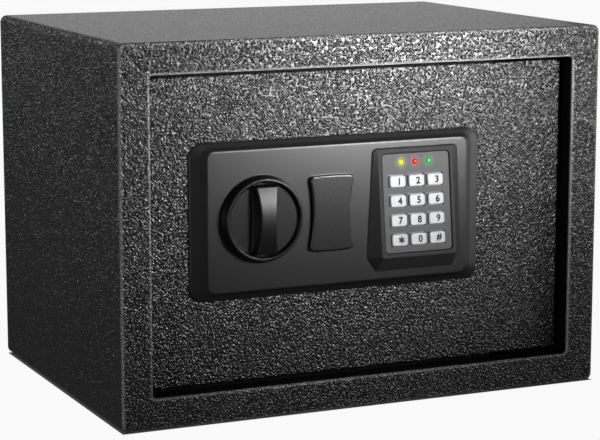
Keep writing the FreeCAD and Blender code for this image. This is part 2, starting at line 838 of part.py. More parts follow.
def make_door_plate():
    body = add_body("door_plate")
    plate = front_sketch(body, door_front)
    draw_rectangle(plate, 0, middle_z, door_width, door_height, size.door_corner_radius)
    draw_circle(plate, knob_x, knob_z, size.bush_diameter)
    draw_circle(plate, lock_x, lock_z, size.barrel_diameter + 2 * size.barrel_hole_clearance)
    draw_circle(plate, keypad_x, keypad_z, size.cable_hole_diameter)
    through = size.screw_diameter + 2 * size.screw_hole_clearance
    for x, z in panel_screw_places():
        draw_circle(plate, x, z, through)
    pad(body, plate, size.door_thickness)
    blind = front_sketch(body, door_back)
    for x in cover_screw_columns:
        for z in cover_screw_rows:
            draw_circle(blind, x, z, size.screw_diameter)
    for z in solenoid_screw_rows:
        draw_circle(blind, pin_x, z, size.screw_diameter)
    for z in post_heights:
        draw_circle(blind, post_x, z, size.post_neck_diameter)
    pocket(body, blind, size.blind_hole_depth, forward=True)
    reach_x = number(door_width / 2 - size.door_corner_radius)
    reach_z = number(door_height / 2 - size.door_corner_radius)
    edge_plane = number(door_front + size.door_thickness / 2)

    def front_rim(point, box):
        outside = abs(point.x) > reach_x or abs(point.z - number(middle_z)) > reach_z
        return box.YMax < edge_plane and outside

    round_edges(body, front_rim, size.door_edge_radius)
    keep(body, "door_plate")


def make_hinges():
    knuckles = []
    pins = []
    journal = size.hinge_pin_diameter / 2
    collar = size.hinge_collar_diameter / 2
    foot = size.knuckle_foot_width / 2
    for side, name in ((-1, "lower"), (1, "upper")):
        outer = middle_z + side * door_height / 2
        inner = outer - side * size.knuckle_height
        knuckle = add_body(f"{name}_knuckle")
        sketch = plan_sketch(knuckle, outer)
        draw_outline(sketch, [
            (hinge_x - foot, door_back),
            (hinge_x + foot, door_back),
            (hinge_x + size.knuckle_radius, hinge_y),
            (hinge_x, hinge_y + size.knuckle_radius, "via"),
            (hinge_x - size.knuckle_radius, hinge_y),
        ])
        draw_circle(sketch, hinge_x, hinge_y, size.hinge_pin_diameter)
        pad(knuckle, sketch, size.knuckle_height, forward=side < 0)
        knuckles.append(knuckle)

        pin = add_body(f"{name}_hinge_pin")
        jamb = middle_z + side * opening_height / 2
        seat = jamb - side * size.hinge_collar_gap
        tip = jamb + side * (size.jamb_thickness + size.hinge_pin_overhang)
        profile = front_sketch(pin, 0)
        draw_outline(profile, [
            (0, inner),
            (journal, inner),
            (journal, outer),
            (collar, outer),
            (collar, seat),
            (journal, seat),
            (journal, tip),
            (0, tip),
        ])
        revolve(pin, profile, "V_Axis")
        place_body(pin, hinge_x, hinge_y, 0)
        pins.append(pin)
    keep_group(knuckles, "hinge_knuckles")
    keep_group(pins, "hinge_pins")


# Control panel

def panel_screw_places():
    return [
        (panel_x + across * panel_screw_x, panel_z + upward * panel_screw_z)
        for across in (-1, 1)
        for upward in (-1, 1)
    ]


def cover_tab_heights():
    return (lock_z - size.cover_tab_spacing / 2, lock_z + size.cover_tab_spacing / 2)


def make_control_panel():
    body = add_body("control_panel")
    foot = front_sketch(body, door_front)
    draw_rectangle(foot, panel_x, panel_z, size.panel_width, size.panel_height, size.panel_outer_radius)
    pad(body, foot, size.panel_foot_height, forward=True)
    outer = front_sketch(body, foot_y)
    draw_rectangle(outer, panel_x, panel_z, size.panel_width, size.panel_height, size.panel_outer_radius)
    ridge = front_sketch(body, ridge_y)
    draw_rectangle(ridge, panel_x, panel_z, ridge_width, ridge_height, size.panel_ridge_radius)
    face = front_sketch(body, panel_face)
    draw_rectangle(face, panel_x, panel_z, face_width, face_height, size.panel_face_radius)
    loft(body, outer, ridge)
    loft(body, ridge, face)
    reach = number(size.panel_foot_height / 2)
    for plane, radius in (
        (foot_y, size.panel_foot_edge_radius),
        (ridge_y, size.panel_ridge_edge_radius),
        (panel_face, size.panel_face_edge_radius),
    ):
        level = number(plane)
        round_edges(body, lambda point, box: box.YMin > level - reach and box.YMax < level + reach, radius)
    hollow = front_sketch(body, door_front)
    hollow_width = face_width - 2 * size.panel_rim
    hollow_height = face_height - 2 * size.panel_rim
    draw_rectangle(hollow, panel_x, panel_z, hollow_width, hollow_height, size.panel_face_radius)
    pocket(body, hollow, panel_rise - size.panel_wall, forward=True)
    holes = front_sketch(body, panel_face)
    draw_circle(holes, knob_x, knob_z, size.spindle_diameter + 2 * size.spindle_hole_margin)
    draw_circle(holes, lock_x, lock_z, size.barrel_diameter + 2 * size.barrel_hole_clearance)
    gap = size.cover_tab_clearance
    for z in cover_tab_heights():
        slot_height = size.cover_tab_thickness + 2 * gap
        draw_rectangle(holes, lock_x, z, size.cover_tab_width + 2 * gap, slot_height)
    pod_gap = 2 * size.pod_skirt_clearance
    window_width = size.pod_skirt_width + pod_gap
    window_height = size.pod_skirt_height + pod_gap
    draw_rectangle(holes, keypad_x, keypad_z, window_width, window_height)
    pocket(body, holes, panel_rise + size.overrun)
    screws = front_sketch(body, door_front)
    for x, z in panel_screw_places():
        draw_circle(screws, x, z, size.screw_diameter)
    pocket(body, screws, size.panel_screw_depth, forward=True)
    keep(body, "control_panel")


def make_panel_screws():
    length = size.door_thickness + size.panel_screw_depth
    screws = [
        screw_from_inside(f"panel_screw_{index}", x, z, door_back, length)
        for index, (x, z) in enumerate(panel_screw_places(), start=1)
    ]
    keep_group(screws, "panel_screws")


# Knob, spindle and drive cam

def make_knob():
    body = add_body("knob")
    base = size.knob_base_diameter / 2
    rim = size.knob_rim_diameter / 2
    dish = size.dish_diameter / 2
    dish_floor = knob_rim + size.dish_depth
    crown = knob_rim - size.grip_rise
    profile = plan_sketch(body, 0)
    draw_outline(profile, [
        (0, knob_back),
        (base, knob_back),
        (base, knob_back - size.knob_skirt_height, size.knob_skirt_edge_radius),
        (rim, knob_rim, size.knob_rim_edge_radius),
        (rim - size.knob_rim_width, knob_rim, size.dish_edge_radius),
        (dish, dish_floor),
        (0, dish_floor),
    ])
    revolve(body, profile, "V_Axis")
    grip = front_sketch(body, dish_floor)
    half = size.grip_width / 2
    waist = size.grip_waist_width / 2
    draw_outline(grip, [
        (-half, -dish),
        (half, -dish),
        (waist, 0, "via"),
        (half, dish),
        (-half, dish),
        (-waist, 0, "via"),
    ])
    pad(body, grip, size.dish_depth + size.grip_rise, forward=True, taper=-size.grip_draft_angle)
    arch = side_sketch(body, -base)
    draw_outline(arch, [
        (knob_rim, -base),
        (crown, 0, "via"),
        (knob_rim, base),
        (crown - size.overrun, base),
        (crown - size.overrun, -base),
    ])
    pocket(body, arch, 2 * base, forward=True)
    long_edge = number(size.grip_width)
    rim_plane = number(knob_rim)

    def along_grip(point, box):
        return box.ZLength > long_edge and point.y < rim_plane

    round_edges(body, along_grip, size.grip_edge_radius)
    socket = front_sketch(body, knob_back)
    draw_circle(socket, 0, 0, size.spindle_diameter)
    pocket(body, socket, size.spindle_knob_depth, forward=True)
    place_body(body, knob_x, 0, knob_z)
    keep(body, "knob")


def make_spindle():
    radius = size.spindle_diameter / 2
    start = knob_back - size.spindle_knob_depth
    rod = [(0, start), (radius, start), (radius, cam_back), (0, cam_back)]
    spindle = turned_along_y("spindle", knob_x, knob_z, rod)
    keep(spindle, "spindle")
    bore = radius + size.spindle_clearance
    sleeve = size.bush_diameter / 2
    flange = size.bush_flange_diameter / 2
    flange_back = door_back + size.bush_flange_thickness
    bush_back = cam_front - size.cam_gap
    bush = turned_along_y("spindle_bush", knob_x, knob_z, [
        (bore, door_front),
        (sleeve, door_front),
        (sleeve, door_back),
        (flange, door_back),
        (flange, flange_back),
        (sleeve, flange_back),
        (sleeve, bush_back),
        (bore, bush_back),
    ])
    keep(bush, "spindle_bush")


def make_drive_cam():
    body = add_body("drive_cam")
    plate = front_sketch(body, cam_front)
    hub = size.drive_cam_hub_radius
    draw_teardrop(plate, knob_x, knob_z, hub, size.drive_cam_tip_radius, drive_reach, drive_reach)
    draw_circle(plate, knob_x, knob_z, size.spindle_diameter)
    pad(body, plate, size.drive_cam_thickness)
    pin = front_sketch(body, cam_front)
    draw_circle(pin, knob_x + drive_reach, knob_z + drive_reach, size.drive_pin_diameter)
    pad(body, pin, carrier_back + size.drive_pin_overhang - cam_front)
    keep(body, "drive_cam")


# Bolts, carrier and guides

def make_bolt_guide():
    body = add_body("bolt_guide")
    angle = plan_sketch(body, cover_low + size.cover_sheet)
    foot_back = door_back + size.guide_foot_thickness
    draw_outline(angle, [
        (guide_left, door_back),
        (guide_left + size.guide_foot_width, door_back),
        (guide_left + size.guide_foot_width, foot_back),
        (guide_right, foot_back),
        (guide_right, cover_back),
        (guide_left, cover_back),
    ])
    pad(body, angle, cover_height - 2 * size.cover_sheet, forward=True)
    holes = side_sketch(body, guide_right)
    for height in bolt_heights:
        draw_circle(holes, bolt_y, height, size.bolt_diameter + 2 * size.bolt_clearance)
    pocket(body, holes, size.guide_thickness + size.overrun)
    keep(body, "bolt_guide")


def make_bolt_carrier():
    body = add_body("bolt_carrier")
    flange_front = bolt_y - size.bolt_diameter / 2
    flange_right = carrier_left + size.carrier_thickness
    inner_bend = size.carrier_bend_radius
    outer_bend = inner_bend + size.carrier_thickness
    bend = plan_sketch(body, carrier_low)
    draw_outline(bend, [
        (carrier_left, flange_front),
        (flange_right, flange_front),
        (flange_right, carrier_front, inner_bend),
        (carrier_right, carrier_front),
        (carrier_right, carrier_back),
        (carrier_left, carrier_back, outer_bend),
    ])
    pad(body, bend, carrier_high - carrier_low, forward=True)
    corners = front_sketch(body, carrier_front - size.carrier_gap)
    tongue_left = carrier_left + size.carrier_body_width
    beyond = carrier_right + size.overrun
    draw_span(corners, tongue_left, carrier_low - size.overrun, beyond, tongue_low)
    draw_span(corners, tongue_left, knob_z + size.carrier_tongue_rise, beyond, carrier_high + size.overrun)
    pocket(body, corners, size.carrier_thickness + 2 * size.carrier_gap)
    slots = front_sketch(body, carrier_front)
    half_slot = size.drive_pin_diameter / 2 + size.drive_slot_clearance
    slot_x = knob_x + drive_reach
    slot_low = knob_z + drive_reach - half_slot
    slot_high = knob_z + drive_radius + half_slot
    draw_span(slots, slot_x - half_slot, slot_low, slot_x + half_slot, slot_high)
    neck = size.post_neck_diameter / 2 + size.post_play
    for height in post_heights:
        end = post_x + size.bolt_throw
        draw_outline(slots, [
            (post_x, height - neck),
            (end, height - neck),
            (end + neck, height, "via"),
            (end, height + neck),
            (post_x, height + neck),
            (post_x - neck, height, "via"),
        ])
    pocket(body, slots, size.carrier_thickness + size.overrun)
    spigots = side_sketch(body, flange_right)
    for height in bolt_heights:
        draw_circle(spigots, bolt_y, height, size.bolt_spigot_diameter)
    pocket(body, spigots, size.carrier_thickness + size.overrun)
    keep(body, "bolt_carrier")


def make_bolts():
    radius = size.bolt_diameter / 2
    spigot = size.bolt_spigot_diameter / 2
    chamfer = size.bolt_tip_chamfer
    tail = carrier_left + size.carrier_thickness
    for name, height in zip(("lower_bolt", "upper_bolt"), bolt_heights):
        body = add_body(name)
        profile = plan_sketch(body, 0)
        draw_outline(profile, [
            (guide_left, 0),
            (guide_left, radius - chamfer),
            (guide_left + chamfer, radius),
            (carrier_left, radius),
            (carrier_left, spigot),
            (tail, spigot),
            (tail, 0),
        ])
        revolve(body, profile, "H_Axis")
        place_body(body, 0, bolt_y, height)
        keep(body, name)


def make_guide_posts():
    neck = size.post_neck_diameter / 2
    shoulder = size.post_shoulder_diameter / 2
    head = size.post_head_diameter / 2
    shoulder_back = carrier_front - size.post_play
    head_front = carrier_back + size.post_play
    head_back = head_front + size.post_head_thickness
    root_front = door_back - size.blind_hole_depth
    posts = []
    for index, height in enumerate(post_heights, start=1):
        posts.append(turned_along_y(f"guide_post_{index}", post_x, height, [
            (0, root_front),
            (neck, root_front),
            (neck, door_back),
            (shoulder, door_back),
            (shoulder, shoulder_back),
            (neck, shoulder_back),
            (neck, head_front),
            (head, head_front),
            (head, head_back),
            (0, head_back),
        ]))
    keep_group(posts, "guide_posts")


# Solenoid

def make_solenoid():
    plate = size.solenoid_frame_thickness
    arm_back = pin_y + size.solenoid_arm_overhang
    frame = add_body("solenoid_frame")
    channel = side_sketch(frame, pin_x - size.solenoid_frame_width / 2)
    draw_outline(channel, [
        (door_back, solenoid_low),
        (arm_back, solenoid_low),
        (arm_back, solenoid_low + plate),
        (door_back + plate, solenoid_low + plate),
        (door_back + plate, solenoid_top - plate),
        (arm_back, solenoid_top - plate),
        (arm_back, solenoid_top),
        (door_back, solenoid_top),
    ])
    pad(frame, channel, size.solenoid_frame_width, forward=True)
    bore = plan_sketch(frame, solenoid_top)
    draw_circle(bore, pin_x, pin_y, size.pin_diameter + 2 * size.pin_clearance)
    pocket(frame, bore, plate + size.overrun)
    screw_holes = front_sketch(frame, door_back)
    for z in solenoid_screw_rows:
        draw_circle(screw_holes, pin_x, z, size.screw_diameter)
    pocket(frame, screw_holes, plate)
    keep(frame, "solenoid_frame")

    coil = add_body("solenoid_coil")
    winding = plan_sketch(coil, solenoid_low + plate)
    draw_rectangle(winding, pin_x, pin_y, size.coil_width, size.coil_width, size.coil_corner_radius)
    draw_circle(winding, pin_x, pin_y, size.pin_diameter + 2 * size.pin_clearance)
    pad(coil, winding, size.solenoid_height - 2 * plate, forward=True)
    keep(coil, "solenoid_coil")

    seat = door_back + plate
    length = plate + size.blind_hole_depth
    screws = [
        screw_from_inside(f"solenoid_screw_{index}", pin_x, z, seat, length)
        for index, z in enumerate(solenoid_screw_rows, start=1)
    ]
    keep_group(screws, "solenoid_screws")

    radius = size.pin_diameter / 2
    collar = size.pin_collar_diameter / 2
    collar_top = pin_collar_low + size.pin_collar_thickness
    pin = add_body("solenoid_pin")
    profile = front_sketch(pin, 0)
    pin_low = solenoid_low + plate + size.pin_root_gap
    draw_outline(profile, [
        (0, pin_low),
        (radius, pin_low),
        (radius, pin_collar_low),
        (collar, pin_collar_low),
        (collar, collar_top),
        (radius, collar_top),
        (radius, pin_top),
        (0, pin_top),
    ])
    revolve(pin, profile, "V_Axis")
    place_body(pin, pin_x, pin_y, 0)
    keep(pin, "solenoid_pin")


def make_solenoid_spring():
    """One unbroken wire on quarter-turn arcs, between the solenoid and the pin's collar."""
    wire = number(size.spring_wire_diameter)
    radius = number(size.spring_coil_diameter) / 2
    seat = wire / 2 + number(size.spring_seat_gap)
    rise = number(size.spring_length) - 2 * seat
    quarters = SPRING_TURNS * QUARTERS_PER_TURN

    def on_wire(quarter):
        angle = math.tau * quarter / QUARTERS_PER_TURN
        return Vector(radius * math.cos(angle), radius * math.sin(angle), seat + rise * quarter / quarters)

    path = Part.Wire([
        Part.Arc(on_wire(step), on_wire(step + 1 / 2), on_wire(step + 1)).toShape()
        for step in range(quarters)
    ])
    start = on_wire(0)
    heading = path.Edges[0].tangentAt(path.Edges[0].FirstParameter)
    section = Part.Wire(Part.Circle(start, heading, wire / 2).toShape())
    spring = doc.addObject("Part::Feature", "solenoid_spring")
    spring.Shape = path.makePipeShell([section], True, False)
    spring.Placement = Placement(Vector(number(pin_x), number(pin_y), number(solenoid_top)), Rotation())
    least_gap = rise / SPRING_TURNS - wire
    print(f"spring: least gap between turns {least_gap:.2f} mm")
    keep(spring, "solenoid_spring")


# Override lock and its cover

def make_override_lock():
    bore = size.plug_diameter / 2 + size.plug_clearance
    outer = size.barrel_diameter / 2
    flange = size.barrel_flange_diameter / 2
    barrel = turned_along_y("key_barrel", lock_x, lock_z, [
        (bore, barrel_front),
        (flange, barrel_front),
        (flange, panel_face),
        (outer, panel_face),
        (outer, barrel_back),
        (bore, barrel_back),
    ])
    keep(barrel, "key_barrel")

    nut = add_body("barrel_nut")
    hexagon = front_sketch(nut, door_back)
    corner = size.barrel_nut_size / root(3)
    angles = [math.tau * step / NUT_SIDES for step in range(NUT_SIDES)]
    draw_outline(hexagon, [
        (lock_x + corner * math.cos(angle), lock_z + corner * math.sin(angle)) for angle in angles
    ])
    draw_circle(hexagon, lock_x, lock_z, size.barrel_diameter)
    pad(nut, hexagon, size.barrel_nut_thickness)
    keep(nut, "barrel_nut")

    plug = add_body("key_plug")
    cylinder = front_sketch(plug, barrel_front)
    draw_circle(cylinder, lock_x, lock_z, size.plug_diameter)
    pad(plug, cylinder, barrel_back - barrel_front)
    tail = front_sketch(plug, barrel_back)
    draw_rectangle(tail, lock_x, lock_z, size.plug_tail_size, size.plug_tail_size)
    pad(plug, tail, size.lock_cam_gap + size.lock_cam_thickness)
    keyway = front_sketch(plug, barrel_front)
    draw_rectangle(keyway, lock_x, lock_z, size.keyway_width, size.keyway_height)
    pocket(plug, keyway, size.keyway_depth)
    keep(plug, "key_plug")

    cam = add_body("lock_cam")
    lever = front_sketch(cam, barrel_back + size.lock_cam_gap)
    hub = size.lock_cam_hub_radius
    draw_teardrop(lever, lock_x, lock_z, hub, size.lock_cam_tip_radius, -size.lock_cam_reach, 0)
    draw_rectangle(lever, lock_x, lock_z, size.plug_tail_size, size.plug_tail_size)
    pad(cam, lever, size.lock_cam_thickness)
    keep(cam, "lock_cam")


def make_key_cover():
    body = add_body("key_cover")
    half = size.key_cover_width / 2
    waist = size.key_cover_waist / 2
    tall = size.key_cover_height / 2
    bow = tall + size.key_cover_crown
    hourglass = front_sketch(body, panel_face)
    draw_outline(hourglass, [
        (lock_x - half, lock_z - tall),
        (lock_x, lock_z - bow, "via"),
        (lock_x + half, lock_z - tall),
        (lock_x + waist, lock_z, "via"),
        (lock_x + half, lock_z + tall),
        (lock_x, lock_z + bow, "via"),
        (lock_x - half, lock_z + tall),
        (lock_x - waist, lock_z, "via"),
    ])
    pad(body, hourglass, size.key_cover_thickness, forward=True)
    straight = number(size.key_cover_thickness / 2)
    round_edges(body, lambda point, box: box.YLength > straight, size.key_cover_corner_radius)
    front_plane = number(panel_face - size.key_cover_thickness / 2)
    round_edges(body, lambda point, box: box.YMax < front_plane, size.key_cover_edge_radius)
    hollow = front_sketch(body, panel_face)
    draw_rectangle(hollow, lock_x, lock_z, size.key_cover_hollow_width, size.key_cover_hollow_height)
    pocket(body, hollow, size.key_cover_hollow_depth, forward=True)
    tabs = front_sketch(body, panel_face)
    for z in cover_tab_heights():
        draw_rectangle(tabs, lock_x, z, size.cover_tab_width, size.cover_tab_thickness)
    pad(body, tabs, size.cover_tab_length)
    keep(body, "key_cover")


# Keypad

def tilted_sketch(body, sink=0):
    """A sketch on the keypad's tilted face, sunk into it."""
    sketch = body.newObject("Sketcher::SketchObject", "tilted_outline")
    plane = next(item for item in body.Origin.OriginFeatures if item.Role == "XZ_Plane")
    sketch.AttachmentSupport = (plane, [""])
    sketch.MapMode = "FlatFace"
    tilt = size.keypad_tilt_angle
    sketch.AttachmentOffset = Placement(Vector(), Rotation(Vector(-1, 0, 0), number(tilt)))
    bind(sketch, "AttachmentOffset.Rotation.Angle", tilt)
    bind(sketch, "AttachmentOffset.Base.x", keypad_x)
    bind(sketch, "AttachmentOffset.Base.y", keypad_z - sink * sine(tilt))
    bind(sketch, "AttachmentOffset.Base.z", -keypad_y - sink * cosine(tilt))
    return sketch


def pod_outline(widths, foot_height, low, high, top_radius):
    """A pod's outline from its widths at the widest line, at the top and at the foot."""
    width, top_width, foot_width = widths
    right = [(foot_width / 2, low), (width / 2, low + foot_height), (top_width / 2, high, top_radius)]
    left = [(-x, *rest) for x, *rest in reversed(right)]
    return right + left


def make_keypad_housing():
    body = add_body("keypad_housing")
    half = size.pod_face_height / 2
    base_low = keypad_z - half - size.pod_base_drop
    base_high = keypad_z + half * cosine(size.keypad_tilt_angle) + size.pod_top_slope
    base = front_sketch(body, panel_face)
    widths = (size.pod_base_width, size.pod_base_top_width, size.pod_base_foot_width)
    outline = pod_outline(widths, size.pod_base_foot_height, base_low, base_high, size.pod_base_top_radius)
    draw_outline(base, [(keypad_x + x, *rest) for x, *rest in outline])
    face = tilted_sketch(body)
    corner = size.pod_face_corner
    widths = (size.pod_face_width, size.pod_face_width, size.pod_face_width - 2 * corner)
    draw_outline(face, pod_outline(widths, corner, -half, half, size.pod_face_top_radius))
    loft(body, base, face)
    tilt = math.radians(number(size.keypad_tilt_angle))
    near = number(size.pod_edge_radius / 2)

    def on_face(point, box):
        forward = (point.y - number(keypad_y)) * math.cos(tilt)
        upward = (point.z - number(keypad_z)) * math.sin(tilt)
        return abs(forward - upward) < near

    round_edges(body, on_face, size.pod_edge_radius)
    skirt = front_sketch(body, panel_face)
    draw_rectangle(skirt, keypad_x, keypad_z, size.pod_skirt_width, size.pod_skirt_height)
    pad(body, skirt, panel_rise)
    recess = tilted_sketch(body)
    gap = 2 * size.face_plate_clearance
    recess_radius = size.face_plate_radius + size.face_plate_clearance
    draw_rectangle(recess, 0, 0, size.face_plate_width + gap, size.face_plate_height + gap, recess_radius)
    pocket(body, recess, size.face_plate_sink + size.face_plate_thickness)
    well = tilted_sketch(body)
    draw_rectangle(well, 0, 0, well_width, well_height)
    pocket(body, well, 2 * panel_rise + 2 * size.keypad_rise)
    keep(body, "keypad_housing")


def key_places():
    """The name and place of each key on the tilted face."""
    rows = len(KEY_NAMES)
    places = []
    for row, names in enumerate(KEY_NAMES):
        for column, name in enumerate(names):
            x = size.key_columns_shift + (column - (len(names) - 1) / 2) * size.key_pitch_x
            z = size.key_rows_shift + ((rows - 1) / 2 - row) * size.key_pitch_z
            places.append((name, x, z))
    return places


def led_places():
    middle = (len(LED_NAMES) - 1) / 2
    return [
        (name, size.key_columns_shift + (index - middle) * size.led_pitch, size.led_rise)
        for index, name in enumerate(LED_NAMES)
    ]


def make_keypad_stack():
    face = add_body("keypad_face")
    plate = front_sketch(face, size.face_plate_sink)
    draw_rectangle(plate, 0, 0, size.face_plate_width, size.face_plate_height, size.face_plate_radius)
    key_gap = 2 * size.key_clearance
    for _, x, z in key_places():
        draw_rectangle(plate, x, z, size.key_width + key_gap, size.key_height + key_gap)
    led_hole = size.led_diameter + 2 * size.led_clearance
    for _, x, z in led_places():
        draw_circle(plate, x, z, led_hole)
    pad(face, plate, size.face_plate_thickness)
    front_half = number(size.face_plate_sink + size.face_plate_thickness / 2)
    reach_x = number(size.face_plate_width / 2 - size.face_plate_radius)
    reach_z = number(size.face_plate_height / 2 - size.face_plate_radius)

    def front_rim(point, box):
        return box.YMax < front_half and (abs(point.x) > reach_x or abs(point.z) > reach_z)

    round_edges(face, front_rim, size.face_plate_edge_radius)
    tilt_body(face)
    keep(face, "keypad_face")

    membrane = add_body("keypad_membrane")
    rubber = front_sketch(membrane, plate_back)
    draw_rectangle(rubber, 0, 0, stack_width, stack_height)
    for _, x, z in led_places():
        draw_circle(rubber, x, z, led_hole)
    pad(membrane, rubber, size.membrane_thickness)
    pockets = front_sketch(membrane, plate_back)
    pocket_gap = 2 * size.key_pocket_clearance
    for _, x, z in key_places():
        draw_rectangle(pockets, x, z, size.key_width + pocket_gap, size.key_foot_height + pocket_gap)
    pocket(membrane, pockets, size.key_foot_thickness + size.key_travel + size.key_pocket_room)
    tilt_body(membrane)
    keep(membrane, "keypad_membrane")

    board = add_body("keypad_board")
    laminate = front_sketch(board, plate_back + size.membrane_thickness)
    draw_rectangle(laminate, 0, 0, stack_width, stack_height)
    pad(board, laminate, size.board_thickness)
    tilt_body(board)
    keep(board, "keypad_board")


def make_keys():
    front_face = size.face_plate_sink - size.key_rise
    front_edge = number(front_face + size.key_rise / 2)
    for name, x, z in key_places():
        body = add_body(f"key_{name}")
        cap = front_sketch(body, plate_back)
        draw_rectangle(cap, x, z, size.key_width, size.key_height, size.key_corner_radius)
        pad(body, cap, plate_back - front_face, forward=True)
        round_edges(body, lambda point, box: box.YMax < front_edge, size.key_edge_radius)
        foot = front_sketch(body, plate_back)
        draw_rectangle(foot, x, z, size.key_foot_width, size.key_foot_height)
        pad(body, foot, size.key_foot_thickness)
        tilt_body(body)
        keep(body, f"key_{name}")


def make_leds():
    seat = plate_back + size.membrane_thickness
    tip = size.face_plate_sink - size.led_proud
    tip_plane = number(tip + size.led_proud / 2)
    for name, x, z in led_places():
        body = add_body(f"led_{name}")
        lens = front_sketch(body, seat)
        draw_circle(lens, x, z, size.led_diameter)
        pad(body, lens, seat - tip, forward=True)
        round_edges(body, lambda point, box: box.YMax < tip_plane, size.led_dome_radius)
        tilt_body(body)
        keep(body, f"led_{name}")


# Inner cover, batteries, reset button and wiring

def make_inner_cover():
    body = add_body("inner_cover")
    wall = size.cover_sheet
    box = front_sketch(body, door_back)
    draw_span(box, cover_left, cover_low, cover_right, cover_high)
    pad(body, box, size.cover_depth)
    hollow = front_sketch(body, door_back)
    draw_span(hollow, cover_left - size.overrun, cover_low + wall, cover_right - wall, cover_high - wall)
    pocket(body, hollow, size.cover_depth - wall)
    back_plane = number(cover_back - wall / 2)
    left_edge = number(cover_left + wall)
    round_edges(
        body, lambda point, box: box.YMin > back_plane and point.x > left_edge, size.cover_bend_radius
    )
    flanges = front_sketch(body, door_back)
    flange_left = cover_left + size.guide_foot_width
    draw_span(flanges, flange_left, cover_low - size.cover_flange_height, cover_right, cover_low + wall)
    draw_span(flanges, flange_left, cover_high - wall, cover_right, cover_high + size.cover_flange_height)
    pad(body, flanges, wall)
    holes = front_sketch(body, door_back)
    for x in cover_screw_columns:
        for z in cover_screw_rows:
            draw_circle(holes, x, z, size.screw_diameter + 2 * size.screw_hole_clearance)
    draw_circle(holes, reset_x, reset_z, size.reset_diameter + 2 * size.reset_clearance)
    draw_rectangle(holes, tray_x, middle_z, hatch_width, hatch_height)
    pocket(body, holes, size.cover_depth + size.overrun)
    keep(body, "inner_cover")


def make_cover_screws():
    seat = door_back + size.cover_sheet
    length = size.cover_sheet + size.blind_hole_depth
    screws = [
        screw_from_inside(f"cover_screw_{column}{row}", x, z, seat, length)
        for column, x in enumerate(cover_screw_columns, start=1)
        for row, z in enumerate(cover_screw_rows, start=1)
    ]
    keep_group(screws, "cover_screws")


def make_batteries():
    tray = add_body("battery_holder")
    tray_front = cover_inside - size.tray_depth
    outside = front_sketch(tray, tray_front)
    draw_rectangle(outside, tray_x, middle_z, size.tray_width, size.tray_height)
    pad(tray, outside, size.tray_depth)
    inside = front_sketch(tray, tray_front + size.tray_wall)
    inside_width = size.tray_width - 2 * size.tray_wall
    inside_height = size.tray_height - 2 * size.tray_wall
    draw_rectangle(inside, tray_x, middle_z, inside_width, inside_height)
    pocket(tray, inside, size.tray_depth)
    keep(tray, "battery_holder")

    cell_radius = size.battery_diameter / 2
    tip_radius = size.battery_tip_diameter / 2
    cell_y = tray_front + size.tray_wall + size.battery_floor_gap + cell_radius
    cells = []
    for index in range(BATTERY_COUNT):
        upward = 1 if index % 2 else -1
        start = middle_z - upward * (size.battery_length + size.battery_tip_length) / 2
        end = start + upward * size.battery_length
        tip = end + upward * size.battery_tip_length
        cell = add_body(f"battery_{index + 1}")
        profile = front_sketch(cell, 0)
        draw_outline(profile, [
            (0, start),
            (cell_radius, start),
            (cell_radius, end),
            (tip_radius, end),
            (tip_radius, tip),
            (0, tip),
        ])
        revolve(cell, profile, "V_Axis")
        place_body(cell, tray_x + (index - (BATTERY_COUNT - 1) / 2) * size.battery_pitch, cell_y, 0)
        cells.append(cell)
    keep_group(cells, "batteries")

    lid = add_body("battery_lid")
    panel = front_sketch(lid, cover_inside)
    gap = 2 * size.lid_clearance
    draw_rectangle(panel, tray_x, middle_z, hatch_width - gap, hatch_height - gap)
    pad(lid, panel, size.cover_sheet)
    grip = front_sketch(lid, cover_back)
    grip_z = middle_z + hatch_height / 2 - size.lid_grip_inset
    draw_rectangle(grip, tray_x, grip_z, size.lid_grip_width, size.lid_grip_height)
    pad(lid, grip, size.lid_grip_rise)
    keep(lid, "battery_lid")


def make_reset_button():
    bore = size.reset_diameter + 2 * size.reset_clearance
    switch = add_body("reset_switch")
    case = front_sketch(switch, cover_inside - size.reset_switch_depth)
    draw_rectangle(case, reset_x, reset_z, size.reset_switch_size, size.reset_switch_size)
    pad(switch, case, size.reset_switch_depth)
    cap_back = cover_back + size.reset_proud
    cap_front = cap_back - size.reset_length
    well = front_sketch(switch, cap_front - size.reset_travel - size.reset_clearance)
    draw_circle(well, reset_x, reset_z, bore)
    pocket(switch, well, size.reset_switch_depth)
    keep(switch, "reset_switch")

    button = add_body("reset_button")
    cap = front_sketch(button, cap_front)
    draw_circle(cap, reset_x, reset_z, size.reset_diameter)
    pad(button, cap, size.reset_length)
    keep(button, "reset_button")


